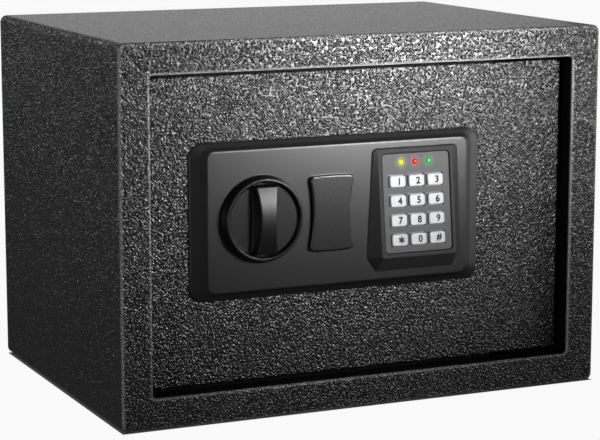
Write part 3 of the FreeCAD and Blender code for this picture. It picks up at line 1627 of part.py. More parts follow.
def make_wire_loom():
    """The wires from the keypad's board through the door to the solenoid, straight runs and arcs."""
    radius = number(size.loom_diameter) / 2
    start = Vector(number(keypad_x), number(door_front), number(keypad_z))
    turn = Vector(number(keypad_x), number(door_back + size.loom_setback), number(keypad_z))
    coil_side = pin_x + size.coil_width / 2
    end = Vector(number(coil_side), number(pin_y), number(solenoid_middle))
    lead = Vector(number(coil_side + size.loom_lead), end.y, end.z)
    rise = Vector(number(coil_side + 2 * size.loom_lead), turn.y, end.z)
    points = [start, turn, rise, lead, end]
    edges = []
    last = points[0]
    for before, here, after in zip(points, points[1:], points[2:]):
        to_last = (before - here).normalize()
        to_next = (after - here).normalize()
        half = to_last.getAngle(to_next) / 2
        shorter = min(before.distanceToPoint(here), after.distanceToPoint(here))
        reach = LOOM_BEND_SHARE * shorter
        bend = reach * math.tan(half)
        centre = here + (to_last + to_next).normalize() * (reach / math.cos(half))
        middle = centre + (here - centre).normalize() * bend
        edges.append(Part.LineSegment(last, here + to_last * reach).toShape())
        edges.append(Part.Arc(here + to_last * reach, middle, here + to_next * reach).toShape())
        last = here + to_next * reach
        print(f"wire loom: bend radius {bend:.1f} mm")
    edges.append(Part.LineSegment(last, points[-1]).toShape())
    path = Part.Wire(edges)
    section = Part.Wire(Part.Circle(start, points[1] - start, radius).toShape())
    loom = doc.addObject("Part::Feature", "wire_loom")
    loom.Shape = path.makePipeShell([section], True, False)
    expected = math.pi * radius ** 2 * path.Length
    print(f"wire loom: volume over section times length {loom.Shape.Volume / expected:.3f}")
    keep(loom, "wire_loom")


make_cabinet_shell()
make_back_panel()
make_door_frame()
make_floor_mat()
make_door_plate()
make_hinges()
make_control_panel()
make_panel_screws()
make_knob()
make_spindle()
make_drive_cam()
make_bolt_guide()
make_bolt_carrier()
make_bolts()
make_guide_posts()
make_solenoid()
make_solenoid_spring()
make_override_lock()
make_key_cover()
make_keypad_housing()
make_keypad_stack()
make_keys()
make_leds()
make_inner_cover()
make_cover_screws()
make_batteries()
make_reset_button()
make_wire_loom()
doc.recompute()

for item in doc.Objects:
    if "Invalid" in item.State or "Error" in item.State:
        raise RuntimeError(f"{item.Label} failed")
for label, item in nodes.items():
    if item.Shape.isNull() or not item.Shape.isValid() or not item.Shape.Solids:
        raise RuntimeError(f"{label} has no valid solid")

os.makedirs("parts", exist_ok=True)
for label, item in nodes.items():
    item.Shape.exportStep(f"parts/{label}.step")
print(f"{len(nodes)} nodes")
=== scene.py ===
# %% [markdown]
# A small electronic safe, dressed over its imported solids.
# The steel box, the door and every moving piece come in as a fixed frame, already in metres and in place.
# This lesson gives each of them its finish, and models what is too fine or too soft for the solids: the
# printed key legends, the cross recesses of the cover's screws, the wire loom and the felt mat.

# %% Load the frame
import json
import math

import bmesh
import bpy
from mathutils import Matrix, Vector


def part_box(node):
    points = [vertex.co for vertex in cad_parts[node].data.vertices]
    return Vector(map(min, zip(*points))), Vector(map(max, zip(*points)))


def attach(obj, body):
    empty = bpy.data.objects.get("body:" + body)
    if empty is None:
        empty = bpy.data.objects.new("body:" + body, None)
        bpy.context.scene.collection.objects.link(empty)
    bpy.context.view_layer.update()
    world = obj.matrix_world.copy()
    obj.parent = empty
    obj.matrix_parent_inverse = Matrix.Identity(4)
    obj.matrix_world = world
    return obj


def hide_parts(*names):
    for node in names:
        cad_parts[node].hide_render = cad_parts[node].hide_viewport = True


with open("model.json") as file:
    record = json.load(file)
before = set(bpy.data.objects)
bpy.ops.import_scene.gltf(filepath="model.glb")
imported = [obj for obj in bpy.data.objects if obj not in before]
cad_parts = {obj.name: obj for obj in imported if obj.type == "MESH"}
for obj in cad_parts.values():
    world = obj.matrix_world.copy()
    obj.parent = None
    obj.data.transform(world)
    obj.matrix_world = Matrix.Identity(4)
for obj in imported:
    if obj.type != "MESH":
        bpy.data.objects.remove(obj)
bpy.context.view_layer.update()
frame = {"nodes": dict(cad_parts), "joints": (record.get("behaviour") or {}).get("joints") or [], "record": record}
MM = 0.001

# %% [markdown]
# Product photographs of a box like this are taken from well back with a long lens, so that its edges stay
# nearly parallel. The camera's place below is in millimetres in the safe's own frame, and the lens is the
# one that makes the safe fill the picture as it does there.

# %% Camera
CAMERA_PLACE_MM = (-625.1, -1384.6, 369.7)
CAMERA_AZIMUTH = math.radians(-24.51)
CAMERA_ELEVATION = math.radians(9.81)
CAMERA_LENS_MM = 129.34
SENSOR_WIDTH_MM = 36.0

camera_data = bpy.data.cameras.new("camera")
camera_data.lens = CAMERA_LENS_MM
camera_data.sensor_width = SENSOR_WIDTH_MM
camera = bpy.data.objects.new("camera", camera_data)
bpy.context.scene.collection.objects.link(camera)
camera.location = Vector(CAMERA_PLACE_MM) * MM
looking = Vector((
    -math.sin(CAMERA_AZIMUTH) * math.cos(CAMERA_ELEVATION),
    math.cos(CAMERA_AZIMUTH) * math.cos(CAMERA_ELEVATION),
    -math.sin(CAMERA_ELEVATION),
))
camera.rotation_mode = "QUATERNION"
camera.rotation_quaternion = looking.to_track_quat("-Z", "Y")
bpy.context.scene.camera = camera
bpy.context.scene.view_settings.view_transform = "Standard"
print("camera looks along", [round(part, 3) for part in looking])

# %% [markdown]
# Every finish is a small node tree. A few helpers keep those trees short. One turns the colours that a
# designer picks, which are sRGB hex values, into the linear numbers that a shader needs. Another adds a
# node, sets it up and links it, and the last turns a real size into a texture's scale.

# %% Helpers for finishes
def colour(hex_text):
    """A linear RGBA colour from an sRGB hex value such as #1d1d1f."""
    channels = [int(hex_text[start:start + 2], 16) / 255 for start in (1, 3, 5)]
    linear = [c / 12.92 if c <= 0.04045 else ((c + 0.055) / 1.055) ** 2.4 for c in channels]
    return (*linear, 1.0)


def set_inputs(tree, node, inputs):
    """Gives a node's inputs their values. A value that is a socket is linked."""
    for name, value in inputs.items():
        if isinstance(value, bpy.types.NodeSocket):
            tree.links.new(value, node.inputs[name])
        else:
            node.inputs[name].default_value = value


def add_node(tree, kind, inputs=None, stops=(), **settings):
    """Adds a node with its settings and inputs. Stops are a colour ramp's positions and hex colours."""
    node = tree.nodes.new(kind)
    for name, value in settings.items():
        setattr(node, name, value)
    set_inputs(tree, node, inputs or {})
    for index, (position, hex_text) in enumerate(stops):
        elements = node.color_ramp.elements
        element = elements[index] if index < len(elements) else elements.new(position)
        element.position = position
        element.color = colour(hex_text)
    return node


def start_finish(name):
    """An empty material, its tree, its surface shader and the place on the piece that patterns read."""
    material = bpy.data.materials.new(name)
    material.use_nodes = True
    tree = material.node_tree
    tree.nodes.clear()
    shader = add_node(tree, "ShaderNodeBsdfPrincipled")
    add_node(tree, "ShaderNodeOutputMaterial", {"Surface": shader.outputs["BSDF"]})
    place = add_node(tree, "ShaderNodeTexCoord").outputs["Object"]
    return material, tree, shader, place


def per_metre(size_mm):
    """The texture scale that repeats a feature of this size."""
    return 1 / (size_mm * MM)


# Nearly all of a noise lies between these two shares of its range.
NOISE_LOW_SHARE = 0.3
NOISE_HIGH_SHARE = 0.7
finishes = {}
print("helpers ready, 1 mm repeats", round(per_metre(1)), "times a metre")

# %% [markdown]
# The box and the door are sheet steel in a black textured powder coat. The powder is baked until it wrinkles
# into low leathery pebbles under two millimetres across. Each pebble catches the light on its upper side and
# stays black below. The pebbles are far too many to model, so they are the cells of a Voronoi texture, bent
# by a noise and used as a bump. They are drawn higher than the real ones, because a bump casts no shadow.

# %% Pebbles of the coat
PEBBLE_SIZE_MM = 1.5
PEBBLE_HEIGHT_MM = 0.65
PEBBLE_WARP_MM = 0.5
PEBBLE_MELT_SHARE = 0.35
PEBBLE_TOP_SHARE = 0.1
PEBBLE_FOOT_SHARE = 0.75


def pebble_domes(tree, place):
    """The height of the pebbles, from 0 in the pits between them to 1 on their tops."""
    warp = add_node(tree, "ShaderNodeTexNoise", {
        "Vector": place, "Scale": per_metre(PEBBLE_SIZE_MM), "Detail": 1.0,
    })
    shift = add_node(tree, "ShaderNodeVectorMath", {
        0: warp.outputs["Color"], 1: (0.5, 0.5, 0.5),
    }, operation="SUBTRACT")
    moved = add_node(tree, "ShaderNodeVectorMath", {
        0: shift.outputs["Vector"], 1: (2 * PEBBLE_WARP_MM * MM,) * 3, 2: place,
    }, operation="MULTIPLY_ADD")
    cells = add_node(tree, "ShaderNodeTexVoronoi", {
        "Vector": moved.outputs["Vector"], "Scale": per_metre(PEBBLE_SIZE_MM),
        "Smoothness": PEBBLE_MELT_SHARE,
    }, feature="SMOOTH_F1")
    dome = add_node(tree, "ShaderNodeMapRange", {
        "Value": cells.outputs["Distance"], "From Min": PEBBLE_TOP_SHARE, "From Max": PEBBLE_FOOT_SHARE,
        "To Min": 1.0, "To Max": 0.0,
    })
    return dome.outputs["Result"]


print("pebbles", PEBBLE_SIZE_MM, "mm across and", PEBBLE_HEIGHT_MM, "mm high")

# %% [markdown]
# On the box's folded edges a light grey is painted into the coat's colour. Part of it is wear, where the
# coat runs thin, and part is a painted highlight for the light that the rounded folds catch, so the folds
# show as fine lines. The door is cut flat, and its own coat keeps its edges black. A bevel node rounds the
# folds for the shading. The cosine between its normal and the flat one tells how near a fold is: there the
# pebbles fade out and the painted highlight and wear come in. A powder coat's refractive index is about
# 1.5. Here it is higher, matched to the strong sheen of this one.

# %% Textured powder coat
PIT_ROUGHNESS = 0.3
TOP_ROUGHNESS = 0.22
FOLD_ROUND_MM = 2.0
FOLD_COSINE = 0.93
# The edge colour, painted highlight and wear, fades out where the bevel's cosine rises to this.
WEAR_AND_HIGHLIGHT_COSINE = 0.995
FOLD_PEBBLE_SHARE = 0.15
COAT_IOR = 1.8


def textured_powder_coat(name, edge):
    material, tree, shader, place = start_finish(name)
    dome = pebble_domes(tree, place)
    fold = add_node(tree, "ShaderNodeBevel", {"Radius": FOLD_ROUND_MM * MM})
    flat = add_node(tree, "ShaderNodeNewGeometry")
    bend = add_node(tree, "ShaderNodeVectorMath", {
        0: fold.outputs["Normal"], 1: flat.outputs["Normal"],
    }, operation="DOT_PRODUCT")
    thick = add_node(tree, "ShaderNodeMapRange", {
        "Value": bend.outputs["Value"], "From Min": FOLD_COSINE, "To Min": FOLD_PEBBLE_SHARE,
    })
    bump = add_node(tree, "ShaderNodeBump", {
        "Height": dome, "Distance": PEBBLE_HEIGHT_MM * MM,
        "Strength": thick.outputs["Result"], "Normal": fold.outputs["Normal"],
    })
    # The pits between the pebbles are coloured darker than their tops: painted shade in the hollows.
    tone = add_node(tree, "ShaderNodeValToRGB", {"Fac": dome}, [(0.1, "#030303"), (0.6, "#0e0e0e")])
    # Near a fold the edge colour is mixed in: a painted highlight, partly wear.
    wear_and_highlight = add_node(tree, "ShaderNodeMapRange", {
        "Value": bend.outputs["Value"], "From Min": FOLD_COSINE, "From Max": WEAR_AND_HIGHLIGHT_COSINE,
        "To Min": 1.0, "To Max": 0.0,
    })
    tone_with_painted_edges = add_node(tree, "ShaderNodeMix", {
        0: wear_and_highlight.outputs["Result"], 6: tone.outputs["Color"], 7: colour(edge),
    }, data_type="RGBA")
    gloss = add_node(tree, "ShaderNodeMapRange", {
        "Value": dome, "To Min": PIT_ROUGHNESS, "To Max": TOP_ROUGHNESS,
    })
    set_inputs(tree, shader, {
        "Base Color": tone_with_painted_edges.outputs[2], "Roughness": gloss.outputs["Result"],
        "Normal": bump.outputs["Normal"], "IOR": COAT_IOR,
    })
    return material


# The box's light grey edge colour is painted highlight as well as wear; the door's edge colour is its own black.
finishes["cabinet_coat"] = textured_powder_coat("textured_powder_coat", edge="#bcbdbf")
door_coat = textured_powder_coat("door_powder_coat", edge="#0e0e0e")
print("textured coats:", finishes["cabinet_coat"].name, door_coat.name)

# %% [markdown]
# The doorway's lining and the cover inside the door wear the same black powder without the texture. Only a
# faint orange peel is left, a few millimetres across, which bends the reflections a little. The lining is
# matt and mirrors little, and its colours are painted far darker than the cover's, as painted shade, so
# that the gap beside the door stays dark.

# %% Smooth powder coat
ORANGE_PEEL_MM = 2.5
ORANGE_PEEL_HEIGHT_MM = 0.02


def smooth_powder_coat(name, dark, light, roughness, ior):
    material, tree, shader, place = start_finish(name)
    peel = add_node(tree, "ShaderNodeTexNoise", {
        "Vector": place, "Scale": per_metre(ORANGE_PEEL_MM), "Detail": 2.0,
    })
    bump = add_node(tree, "ShaderNodeBump", {
        "Height": peel.outputs["Fac"], "Distance": ORANGE_PEEL_HEIGHT_MM * MM, "Strength": 0.6,
    })
    tone = add_node(tree, "ShaderNodeValToRGB", {"Fac": peel.outputs["Fac"]}, [
        (NOISE_LOW_SHARE, dark), (NOISE_HIGH_SHARE, light),
    ])
    set_inputs(tree, shader, {
        "Base Color": tone.outputs["Color"], "Normal": bump.outputs["Normal"],
        "Roughness": roughness, "IOR": ior,
    })
    return material


# The lining's near-black colours are painted shade for the gap beside the door.
finishes["jamb_coat"] = smooth_powder_coat(
    "doorway_powder_coat", "#020202", "#040404", roughness=0.7, ior=1.25,
)
finishes["cover_coat"] = smooth_powder_coat(
    "cover_powder_coat", "#141414", "#1a1a1a", roughness=0.5, ior=1.5,
)
print("smooth coats:", finishes["jamb_coat"].name, finishes["cover_coat"].name)

# %% [markdown]
# The panel, the pod, the knob and the caps are moulded ABS. A moulding takes the surface of its tool: a
# spark-eroded tool leaves a satin grain a fraction of a millimetre across, and a polished one leaves gloss.
# The melt also leaves faint flow marks some centimetres long. One recipe serves them all. The grain is drawn
# at half a millimetre, coarser than the real one, so that it shows. Where an edge catches the light, a bevel
# node can round it a little more in the shading.

# %% Recipe for moulded plastic
GRAIN_MM = 0.5
FLOW_MARK_MM = 40.0
GRAIN_ROUGHNESS_SHARE = 0.03
ABS_IOR = 1.54


def moulded_abs(name, dark, light, roughness, grain_height_mm=0.01, edge_round_mm=0.0, ior=ABS_IOR):
    material, tree, shader, place = start_finish(name)
    grain = add_node(tree, "ShaderNodeTexNoise", {
        "Vector": place, "Scale": per_metre(GRAIN_MM), "Detail": 3.0,
    })
    flow = add_node(tree, "ShaderNodeTexNoise", {
        "Vector": place, "Scale": per_metre(FLOW_MARK_MM), "Detail": 1.0,
    })
    bump = add_node(tree, "ShaderNodeBump", {
        "Height": grain.outputs["Fac"], "Distance": grain_height_mm * MM, "Strength": 0.5,
    })
    if edge_round_mm:
        edge = add_node(tree, "ShaderNodeBevel", {"Radius": edge_round_mm * MM})
        set_inputs(tree, bump, {"Normal": edge.outputs["Normal"]})
    spread = add_node(tree, "ShaderNodeMapRange", {
        "Value": grain.outputs["Fac"], "From Min": NOISE_LOW_SHARE, "From Max": NOISE_HIGH_SHARE,
        "To Min": roughness - GRAIN_ROUGHNESS_SHARE, "To Max": roughness + GRAIN_ROUGHNESS_SHARE,
    })
    tone = add_node(tree, "ShaderNodeValToRGB", {"Fac": flow.outputs["Fac"]}, [
        (NOISE_LOW_SHARE, dark), (NOISE_HIGH_SHARE, light),
    ])
    set_inputs(tree, shader, {
        "Base Color": tone.outputs["Color"], "Roughness": spread.outputs["Result"],
        "Normal": bump.outputs["Normal"], "IOR": ior,
    })
    return material


print("moulding grain", GRAIN_MM, "mm, flow marks", FLOW_MARK_MM, "mm")

# %% [markdown]
# Each moulding has its own colours and roughness. The pod has a matt plastic of its own, because its tilted
# rim would mirror the front lamp. The knob's refractive index is below that of ABS, matched to its dark face.

# %% Moulded plastics
finishes["panel_plastic"] = moulded_abs(
    "satin_black_abs", "#101011", "#141415", roughness=0.33, edge_round_mm=1.5,
)
finishes["cover_plastic"] = moulded_abs(
    "cap_black_abs", "#0c0c0d", "#0f0f10", roughness=0.28, grain_height_mm=0.003, edge_round_mm=1.0,
)
finishes["knob_plastic"] = moulded_abs(
    "glossy_black_abs", "#09090a", "#0c0c0d", roughness=0.34, edge_round_mm=1.0, ior=1.4,
)
pod_plastic = moulded_abs(
    "matt_black_abs", "#08080a", "#0b0b0c", roughness=0.75, edge_round_mm=1.0,
)
finishes["face_plastic"] = moulded_abs("grey_face_abs", "#1e1e20", "#242426", roughness=0.6)
finishes["key_plastic"] = moulded_abs(
    "white_key_abs", "#a4a5a7", "#acadaf", roughness=0.55, grain_height_mm=0.004,
)
finishes["tray_plastic"] = moulded_abs("battery_tray_abs", "#131313", "#171717", roughness=0.5)
finishes["reset_red"] = moulded_abs("reset_red_abs", "#a81812", "#b81d16", roughness=0.3)
finishes["membrane_rubber"] = moulded_abs("silicone_membrane", "#060606", "#090909", roughness=0.7)
print("moulded finishes so far:", len(finishes))

# %% [markdown]
# The three lamps are small coloured lenses with a light behind them. The lens shines in its own colour, with
# a fine speckle from the diffusing filler in the plastic. Each has a colour for its body, one for its bright
# spots and one for the dim edge of the light that it throws on the plate round it.

# %% Lamps
LENS_SPECKLE_MM = 1.2
LENS_SHINE = 0.3
LAMPS = {
    "led_yellow": {"slot": "yellow_lens", "body": "#d8c400", "shine": "#f2ee2a", "edge": "#66640b"},
    "led_red": {"slot": "red_lens", "body": "#c00810", "shine": "#e81c24", "edge": "#610609"},
    "led_green": {"slot": "green_lens", "body": "#008a20", "shine": "#12c23a", "edge": "#035013"},
}


def lamp_lens(name, body, shine):
    material, tree, shader, place = start_finish(name)
    speckle = add_node(tree, "ShaderNodeTexNoise", {
        "Vector": place, "Scale": per_metre(LENS_SPECKLE_MM), "Detail": 1.0,
    })
    tone = add_node(tree, "ShaderNodeValToRGB", {"Fac": speckle.outputs["Fac"]}, [
        (NOISE_LOW_SHARE, body), (NOISE_HIGH_SHARE, shine),
    ])
    set_inputs(tree, shader, {
        "Base Color": tone.outputs["Color"], "Emission Color": tone.outputs["Color"],
        "Emission Strength": LENS_SHINE, "Roughness": 0.15,
    })
    return material


for lamp in LAMPS.values():
    finishes[lamp["slot"]] = lamp_lens(lamp["slot"], lamp["body"], lamp["shine"])
print("lenses:", ", ".join(LAMPS))

# %% [markdown]
# Each lamp leaves a soft pool of its colour on the grey plate round it. Light from three lenses a few
# millimetres wide is slow to render well, so the pool is part of the plate's finish: it reads the distance
# from each lens's middle, which the solids tell, and fades out within a few millimetres.

# %% Glow on the face plate
GLOW_REACH_MM = 6.0
GLOW_CORE_SHARE = 0.2
GLOW_EDGE_SHARE = 0.6
GLOW_STRENGTH = 0.5


def add_lamp_glow(material):
    tree = material.node_tree
    place = tree.nodes["Texture Coordinate"].outputs["Object"]
    total = (0, 0, 0)
    for node, lamp in LAMPS.items():
        low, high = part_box(node)
        away = add_node(tree, "ShaderNodeVectorMath", {0: place, 1: (low + high) / 2}, operation="DISTANCE")
        fade = add_node(tree, "ShaderNodeMapRange", {
            "Value": away.outputs["Value"], "From Max": GLOW_REACH_MM * MM,
        })
        pool = add_node(tree, "ShaderNodeValToRGB", {"Fac": fade.outputs["Result"]}, [
            (GLOW_CORE_SHARE, lamp["shine"]), (GLOW_EDGE_SHARE, lamp["edge"]), (1.0, "#000000"),
        ])
        total = add_node(tree, "ShaderNodeVectorMath", {
            0: total, 1: pool.outputs["Color"],
        }, operation="ADD").outputs["Vector"]
    set_inputs(tree, tree.nodes["Principled BSDF"], {
        "Emission Color": total, "Emission Strength": GLOW_STRENGTH,
    })


add_lamp_glow(finishes["face_plastic"])
print("glow reaches", GLOW_REACH_MM, "mm from each lens")

# %% [markdown]
# Metal inside the door is mostly steel with bright zinc plating, which is faintly mottled from its bath.
# The lock is nickel-plated and smoother, and the spindle turns in a plain brass bush. A mottle of a few
# millimetres changes both the colour and the roughness.

# %% Plated metals
MOTTLE_ROUGHNESS_SHARE = 0.06


def plated_metal(name, dark, light, roughness, mottle_mm):
    material, tree, shader, place = start_finish(name)
    mottle = add_node(tree, "ShaderNodeTexNoise", {
        "Vector": place, "Scale": per_metre(mottle_mm), "Detail": 4.0, "Roughness": 0.6,
    })
    tone = add_node(tree, "ShaderNodeValToRGB", {"Fac": mottle.outputs["Fac"]}, [
        (NOISE_LOW_SHARE, dark), (NOISE_HIGH_SHARE, light),
    ])
    spread = add_node(tree, "ShaderNodeMapRange", {
        "Value": mottle.outputs["Fac"], "From Min": NOISE_LOW_SHARE, "From Max": NOISE_HIGH_SHARE,
        "To Min": roughness - MOTTLE_ROUGHNESS_SHARE, "To Max": roughness + MOTTLE_ROUGHNESS_SHARE,
    })
    set_inputs(tree, shader, {
        "Base Color": tone.outputs["Color"], "Roughness": spread.outputs["Result"], "Metallic": 1.0,
    })
    return material


finishes["plated_steel"] = plated_metal(
    "zinc_plated_steel", "#a9abad", "#c4c5c4", roughness=0.34, mottle_mm=4.0,
)
finishes["lock_chrome"] = plated_metal(
    "nickel_plated_lock", "#bdbab3", "#cdcac3", roughness=0.2, mottle_mm=3.0,
)
finishes["bush_brass"] = plated_metal(
    "turned_brass", "#b08a45", "#c8a158", roughness=0.28, mottle_mm=1.0,
)
print("metals:", finishes["plated_steel"].name, finishes["lock_chrome"].name, finishes["bush_brass"].name)

# %% [markdown]
# A few small finishes are left: the tape round the coil, the circuit board, the plain battery sleeves and
# the braided sleeve on the wires. Each has soft bands at its own real size.

# %% Small finishes
BAND_HEIGHT_MM = 0.1


def banded(name, dark, light, band_mm, direction, roughness):
    material, tree, shader, place = start_finish(name)
    bands = add_node(tree, "ShaderNodeTexWave", {
        "Vector": place, "Scale": per_metre(band_mm) / math.tau, "Distortion": 0.6, "Detail": 1.0,
    }, bands_direction=direction)
    tone = add_node(tree, "ShaderNodeValToRGB", {"Fac": bands.outputs["Fac"]}, [(0.2, dark), (0.8, light)])
    bump = add_node(tree, "ShaderNodeBump", {
        "Height": bands.outputs["Fac"], "Distance": BAND_HEIGHT_MM * MM, "Strength": 0.5,
    })
    set_inputs(tree, shader, {
        "Base Color": tone.outputs["Color"], "Normal": bump.outputs["Normal"], "Roughness": roughness,
    })
    return material


finishes["coil_tape"] = banded("winding_tape", "#6a5312", "#86691d", 6.0, "Z", roughness=0.35)
finishes["battery_sleeve"] = banded("battery_sleeve", "#20242a", "#2a3038", 12.0, "Z", roughness=0.3)
finishes["wire_sleeve"] = banded("braided_wire_sleeve", "#0c0c0c", "#1a1a1a", 1.2, "X", roughness=0.6)
finishes["circuit_board"] = banded("solder_mask", "#0d3d22", "#124a2a", 3.0, "X", roughness=0.3)
print("finishes so far:", len(finishes))

# %% [markdown]
# Felt is pressed fibre, so it has no weave: only short hairs lying every way. Two noises, one stretched
# along X and one along Y, stand for the hairs, and a high roughness with a little sheen gives the nap.

# %% Felt
FIBRE_WIDTH_MM = 0.35
FIBRE_STRETCH_SHARE = 0.15
NAP_HEIGHT_MM = 0.3


def needle_felt():
    material, tree, shader, place = start_finish("needle_felt")
    layers = []
    for stretch in ((FIBRE_STRETCH_SHARE, 1, 1), (1, FIBRE_STRETCH_SHARE, 1)):
        mapped = add_node(tree, "ShaderNodeMapping", {"Vector": place, "Scale": stretch})
        layers.append(add_node(tree, "ShaderNodeTexNoise", {
            "Vector": mapped.outputs["Vector"], "Scale": per_metre(FIBRE_WIDTH_MM),
            "Detail": 2.0, "Distortion": 0.8,
        }).outputs["Fac"])
    hairs = add_node(tree, "ShaderNodeMath", {0: layers[0], 1: layers[1]}, operation="MAXIMUM")
    tone = add_node(tree, "ShaderNodeValToRGB", {"Fac": hairs.outputs["Value"]}, [
        (0.45, "#26272a"), (0.7, "#4b4d52"),
    ])
    bump = add_node(tree, "ShaderNodeBump", {
        "Height": hairs.outputs["Value"], "Distance": NAP_HEIGHT_MM * MM, "Strength": 0.8,
    })
    set_inputs(tree, shader, {
        "Base Color": tone.outputs["Color"], "Normal": bump.outputs["Normal"],
        "Roughness": 0.95, "Sheen Weight": 0.3,
    })
    return material


finishes["felt"] = needle_felt()
print("felt hairs", FIBRE_WIDTH_MM, "mm wide")

# %% [markdown]
# The record says which finish each solid wears, by a slot name. The solids keep their meshes as they are,
# and only their material slots are filled. Two of them then get a finish of their own: the pod its matt
# plastic, and the door its coat with black edges.

# %% Give every solid its finish
for row in frame["record"]["subparts"]:
    node = frame["nodes"][row["node"]]
    node.data.materials.clear()
    node.data.materials.append(finishes[row["material_slot"]])
frame["nodes"]["keypad_housing"].data.materials[0] = pod_plastic
frame["nodes"]["door_plate"].data.materials[0] = door_coat
print(len(finishes), "finishes on", len(frame["nodes"]), "solids")

# %% [markdown]
# New pieces all end the same way: the mesh gets its finish and an object at the origin, and rides on the
# body that carries it.

# %% Helper for new pieces
def add_piece(name, mesh, finish, body):
    mesh.materials.clear()
    mesh.materials.append(finish)
    piece = bpy.data.objects.new(name, mesh)
    bpy.context.scene.collection.objects.link(piece)
    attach(piece, body)
    return piece


def evaluated_mesh(obj):
    """The mesh that an object's curve, text or modifiers give. The object itself is then removed."""
    bpy.context.scene.collection.objects.link(obj)
    bpy.context.view_layer.update()
    mesh = bpy.data.meshes.new_from_object(obj.evaluated_get(bpy.context.evaluated_depsgraph_get()))
    bpy.data.objects.remove(obj)
    return mesh


# %% [markdown]
# The keys' figures are printed in black ink, which dries matt and faintly speckled.

# %% Printing ink
INK_HEIGHT_MM = 0.03
INK_SPECKLE_MM = 0.4


def printed_ink():
    material, tree, shader, place = start_finish("printed_black_ink")
    speckle = add_node(tree, "ShaderNodeTexNoise", {
        "Vector": place, "Scale": per_metre(INK_SPECKLE_MM), "Detail": 2.0,
    })
    tone = add_node(tree, "ShaderNodeValToRGB", {"Fac": speckle.outputs["Fac"]}, [
        (NOISE_LOW_SHARE, "#101112"), (NOISE_HIGH_SHARE, "#18191b"),
    ])
    set_inputs(tree, shader, {"Base Color": tone.outputs["Color"], "Roughness": 0.8, "IOR": 1.3})
    return material


ink = printed_ink()
print("ink", INK_HEIGHT_MM, "mm high, speckled at", INK_SPECKLE_MM, "mm")

# %% [markdown]
# The figures are plain and bold. A text object gives their outlines, and a thin flattened tube along them
# makes the strokes bold, because swelling the outline itself closes the small counters.

# %% Figures
LEGENDS = {"star": "*", "hash": "#"}
FIGURE_SIZE_MM = 6.2
STAR_SIZE_MM = 10.0
STROKE_SWELL_MM = 0.24


def figure_text(name):
    letters = bpy.data.curves.new(f"letters_{name}", "FONT")
    letters.body = LEGENDS.get(name, name)
    letters.size = (STAR_SIZE_MM if name == "star" else FIGURE_SIZE_MM) * MM
    letters.bevel_resolution = 1
    return letters


def filled_figure(name):
    letters = figure_text(name)
    letters.fill_mode = "BOTH"
    letters.extrude = INK_HEIGHT_MM * MM
    return evaluated_mesh(bpy.data.objects.new(letters.name, letters))


def swelled_outline(name):
    """A tube along the figure's outline, flattened to the ink's height."""
    letters = figure_text(name)
    letters.fill_mode = "NONE"
    letters.bevel_depth = STROKE_SWELL_MM * MM
    outline = evaluated_mesh(bpy.data.objects.new(letters.name, letters))
    outline.transform(Matrix.Diagonal((1, 1, INK_HEIGHT_MM / STROKE_SWELL_MM, 1)))
    return outline


print("figures", FIGURE_SIZE_MM, "mm, strokes swelled by", STROKE_SWELL_MM, "mm")

# %% [markdown]
# Each figure becomes a mesh and is laid on its own key's front face, a little right of the middle. The solid
# tells where that is: its corners furthest out along the direction opposite to the key's travel.

# %% Key legends
FIGURE_SHIFT_MM = 1.1
OUTLINE_WELD_MM = 0.0003


def key_face(joint):
    """The middle of a key's front face, with its right, up and outward directions."""
    outward = -Vector(joint["axis"]).normalized()
    right = Vector((1, 0, 0))
    upward = outward.cross(right)
    corners = [vertex.co for vertex in frame["nodes"][joint["child"]].data.vertices]
    level = max(corner.dot(outward) for corner in corners)
    front = [corner for corner in corners if level - corner.dot(outward) < INK_HEIGHT_MM * MM]
    centre = outward * level
    for axis in (right, upward):
        reach = [corner.dot(axis) for corner in front]
        centre += axis * (min(reach) + max(reach)) / 2
    return centre, right, upward, outward


def make_legend(joint):
    name = joint["child"].removeprefix("key_")
    bm = bmesh.new()
    bm.from_mesh(filled_figure(name))
    bm.from_mesh(swelled_outline(name))
    bmesh.ops.remove_doubles(bm, verts=bm.verts, dist=OUTLINE_WELD_MM * MM)
    across = [vertex.co.x for vertex in bm.verts]
    along = [vertex.co.y for vertex in bm.verts]
    middle = Vector((min(across) + max(across), min(along) + max(along), 0)) / 2
    centre, right, upward, outward = key_face(joint)
    turn = Matrix((right, upward, outward)).transposed().to_4x4()
    place = Matrix.Translation(centre + right * FIGURE_SHIFT_MM * MM) @ turn @ Matrix.Translation(-middle)
    bm.transform(place)
    mesh = bpy.data.meshes.new(f"legend_{name}")
    bm.to_mesh(mesh)
    bm.free()
    return add_piece(f"legend_{name}", mesh, ink, joint["child"])


key_joints = [
    joint for joint in frame["joints"] if joint["name"].startswith("key_") and "press" in joint["name"]
]
legends = [make_legend(joint) for joint in key_joints]
print(len(legends), "legends, of", sum(len(legend.data.polygons) for legend in legends), "faces")

# %% [markdown]
# Two solids are too plain close up: the cover's screws and the mat. A welded copy, with its flat faces joined
# again, can be bevelled along the edges that lie at one level.

# %% Helpers for copies of solids
WELD_MM = 0.001
LEVEL_MM = 0.01
FLAT_ANGLE = math.radians(1)


def merged_copy(node):
    """A CAD node's triangles as one welded bmesh, with flat faces joined again."""
    bm = bmesh.new()
    bm.from_mesh(frame["nodes"][node].data)
    bmesh.ops.remove_doubles(bm, verts=bm.verts, dist=WELD_MM * MM)
    bmesh.ops.dissolve_limit(bm, angle_limit=FLAT_ANGLE, verts=bm.verts, edges=bm.edges)
    return bm


def edges_at_level(bm, axis, level):
    """The edges that lie in the plane across one axis."""
    edges = []
    for edge in bm.edges:
        if all(abs(vertex.co[axis] - level) < LEVEL_MM * MM for vertex in edge.verts):
            edges.append(edge)
    return edges


print("copies are welded within", WELD_MM, "mm")

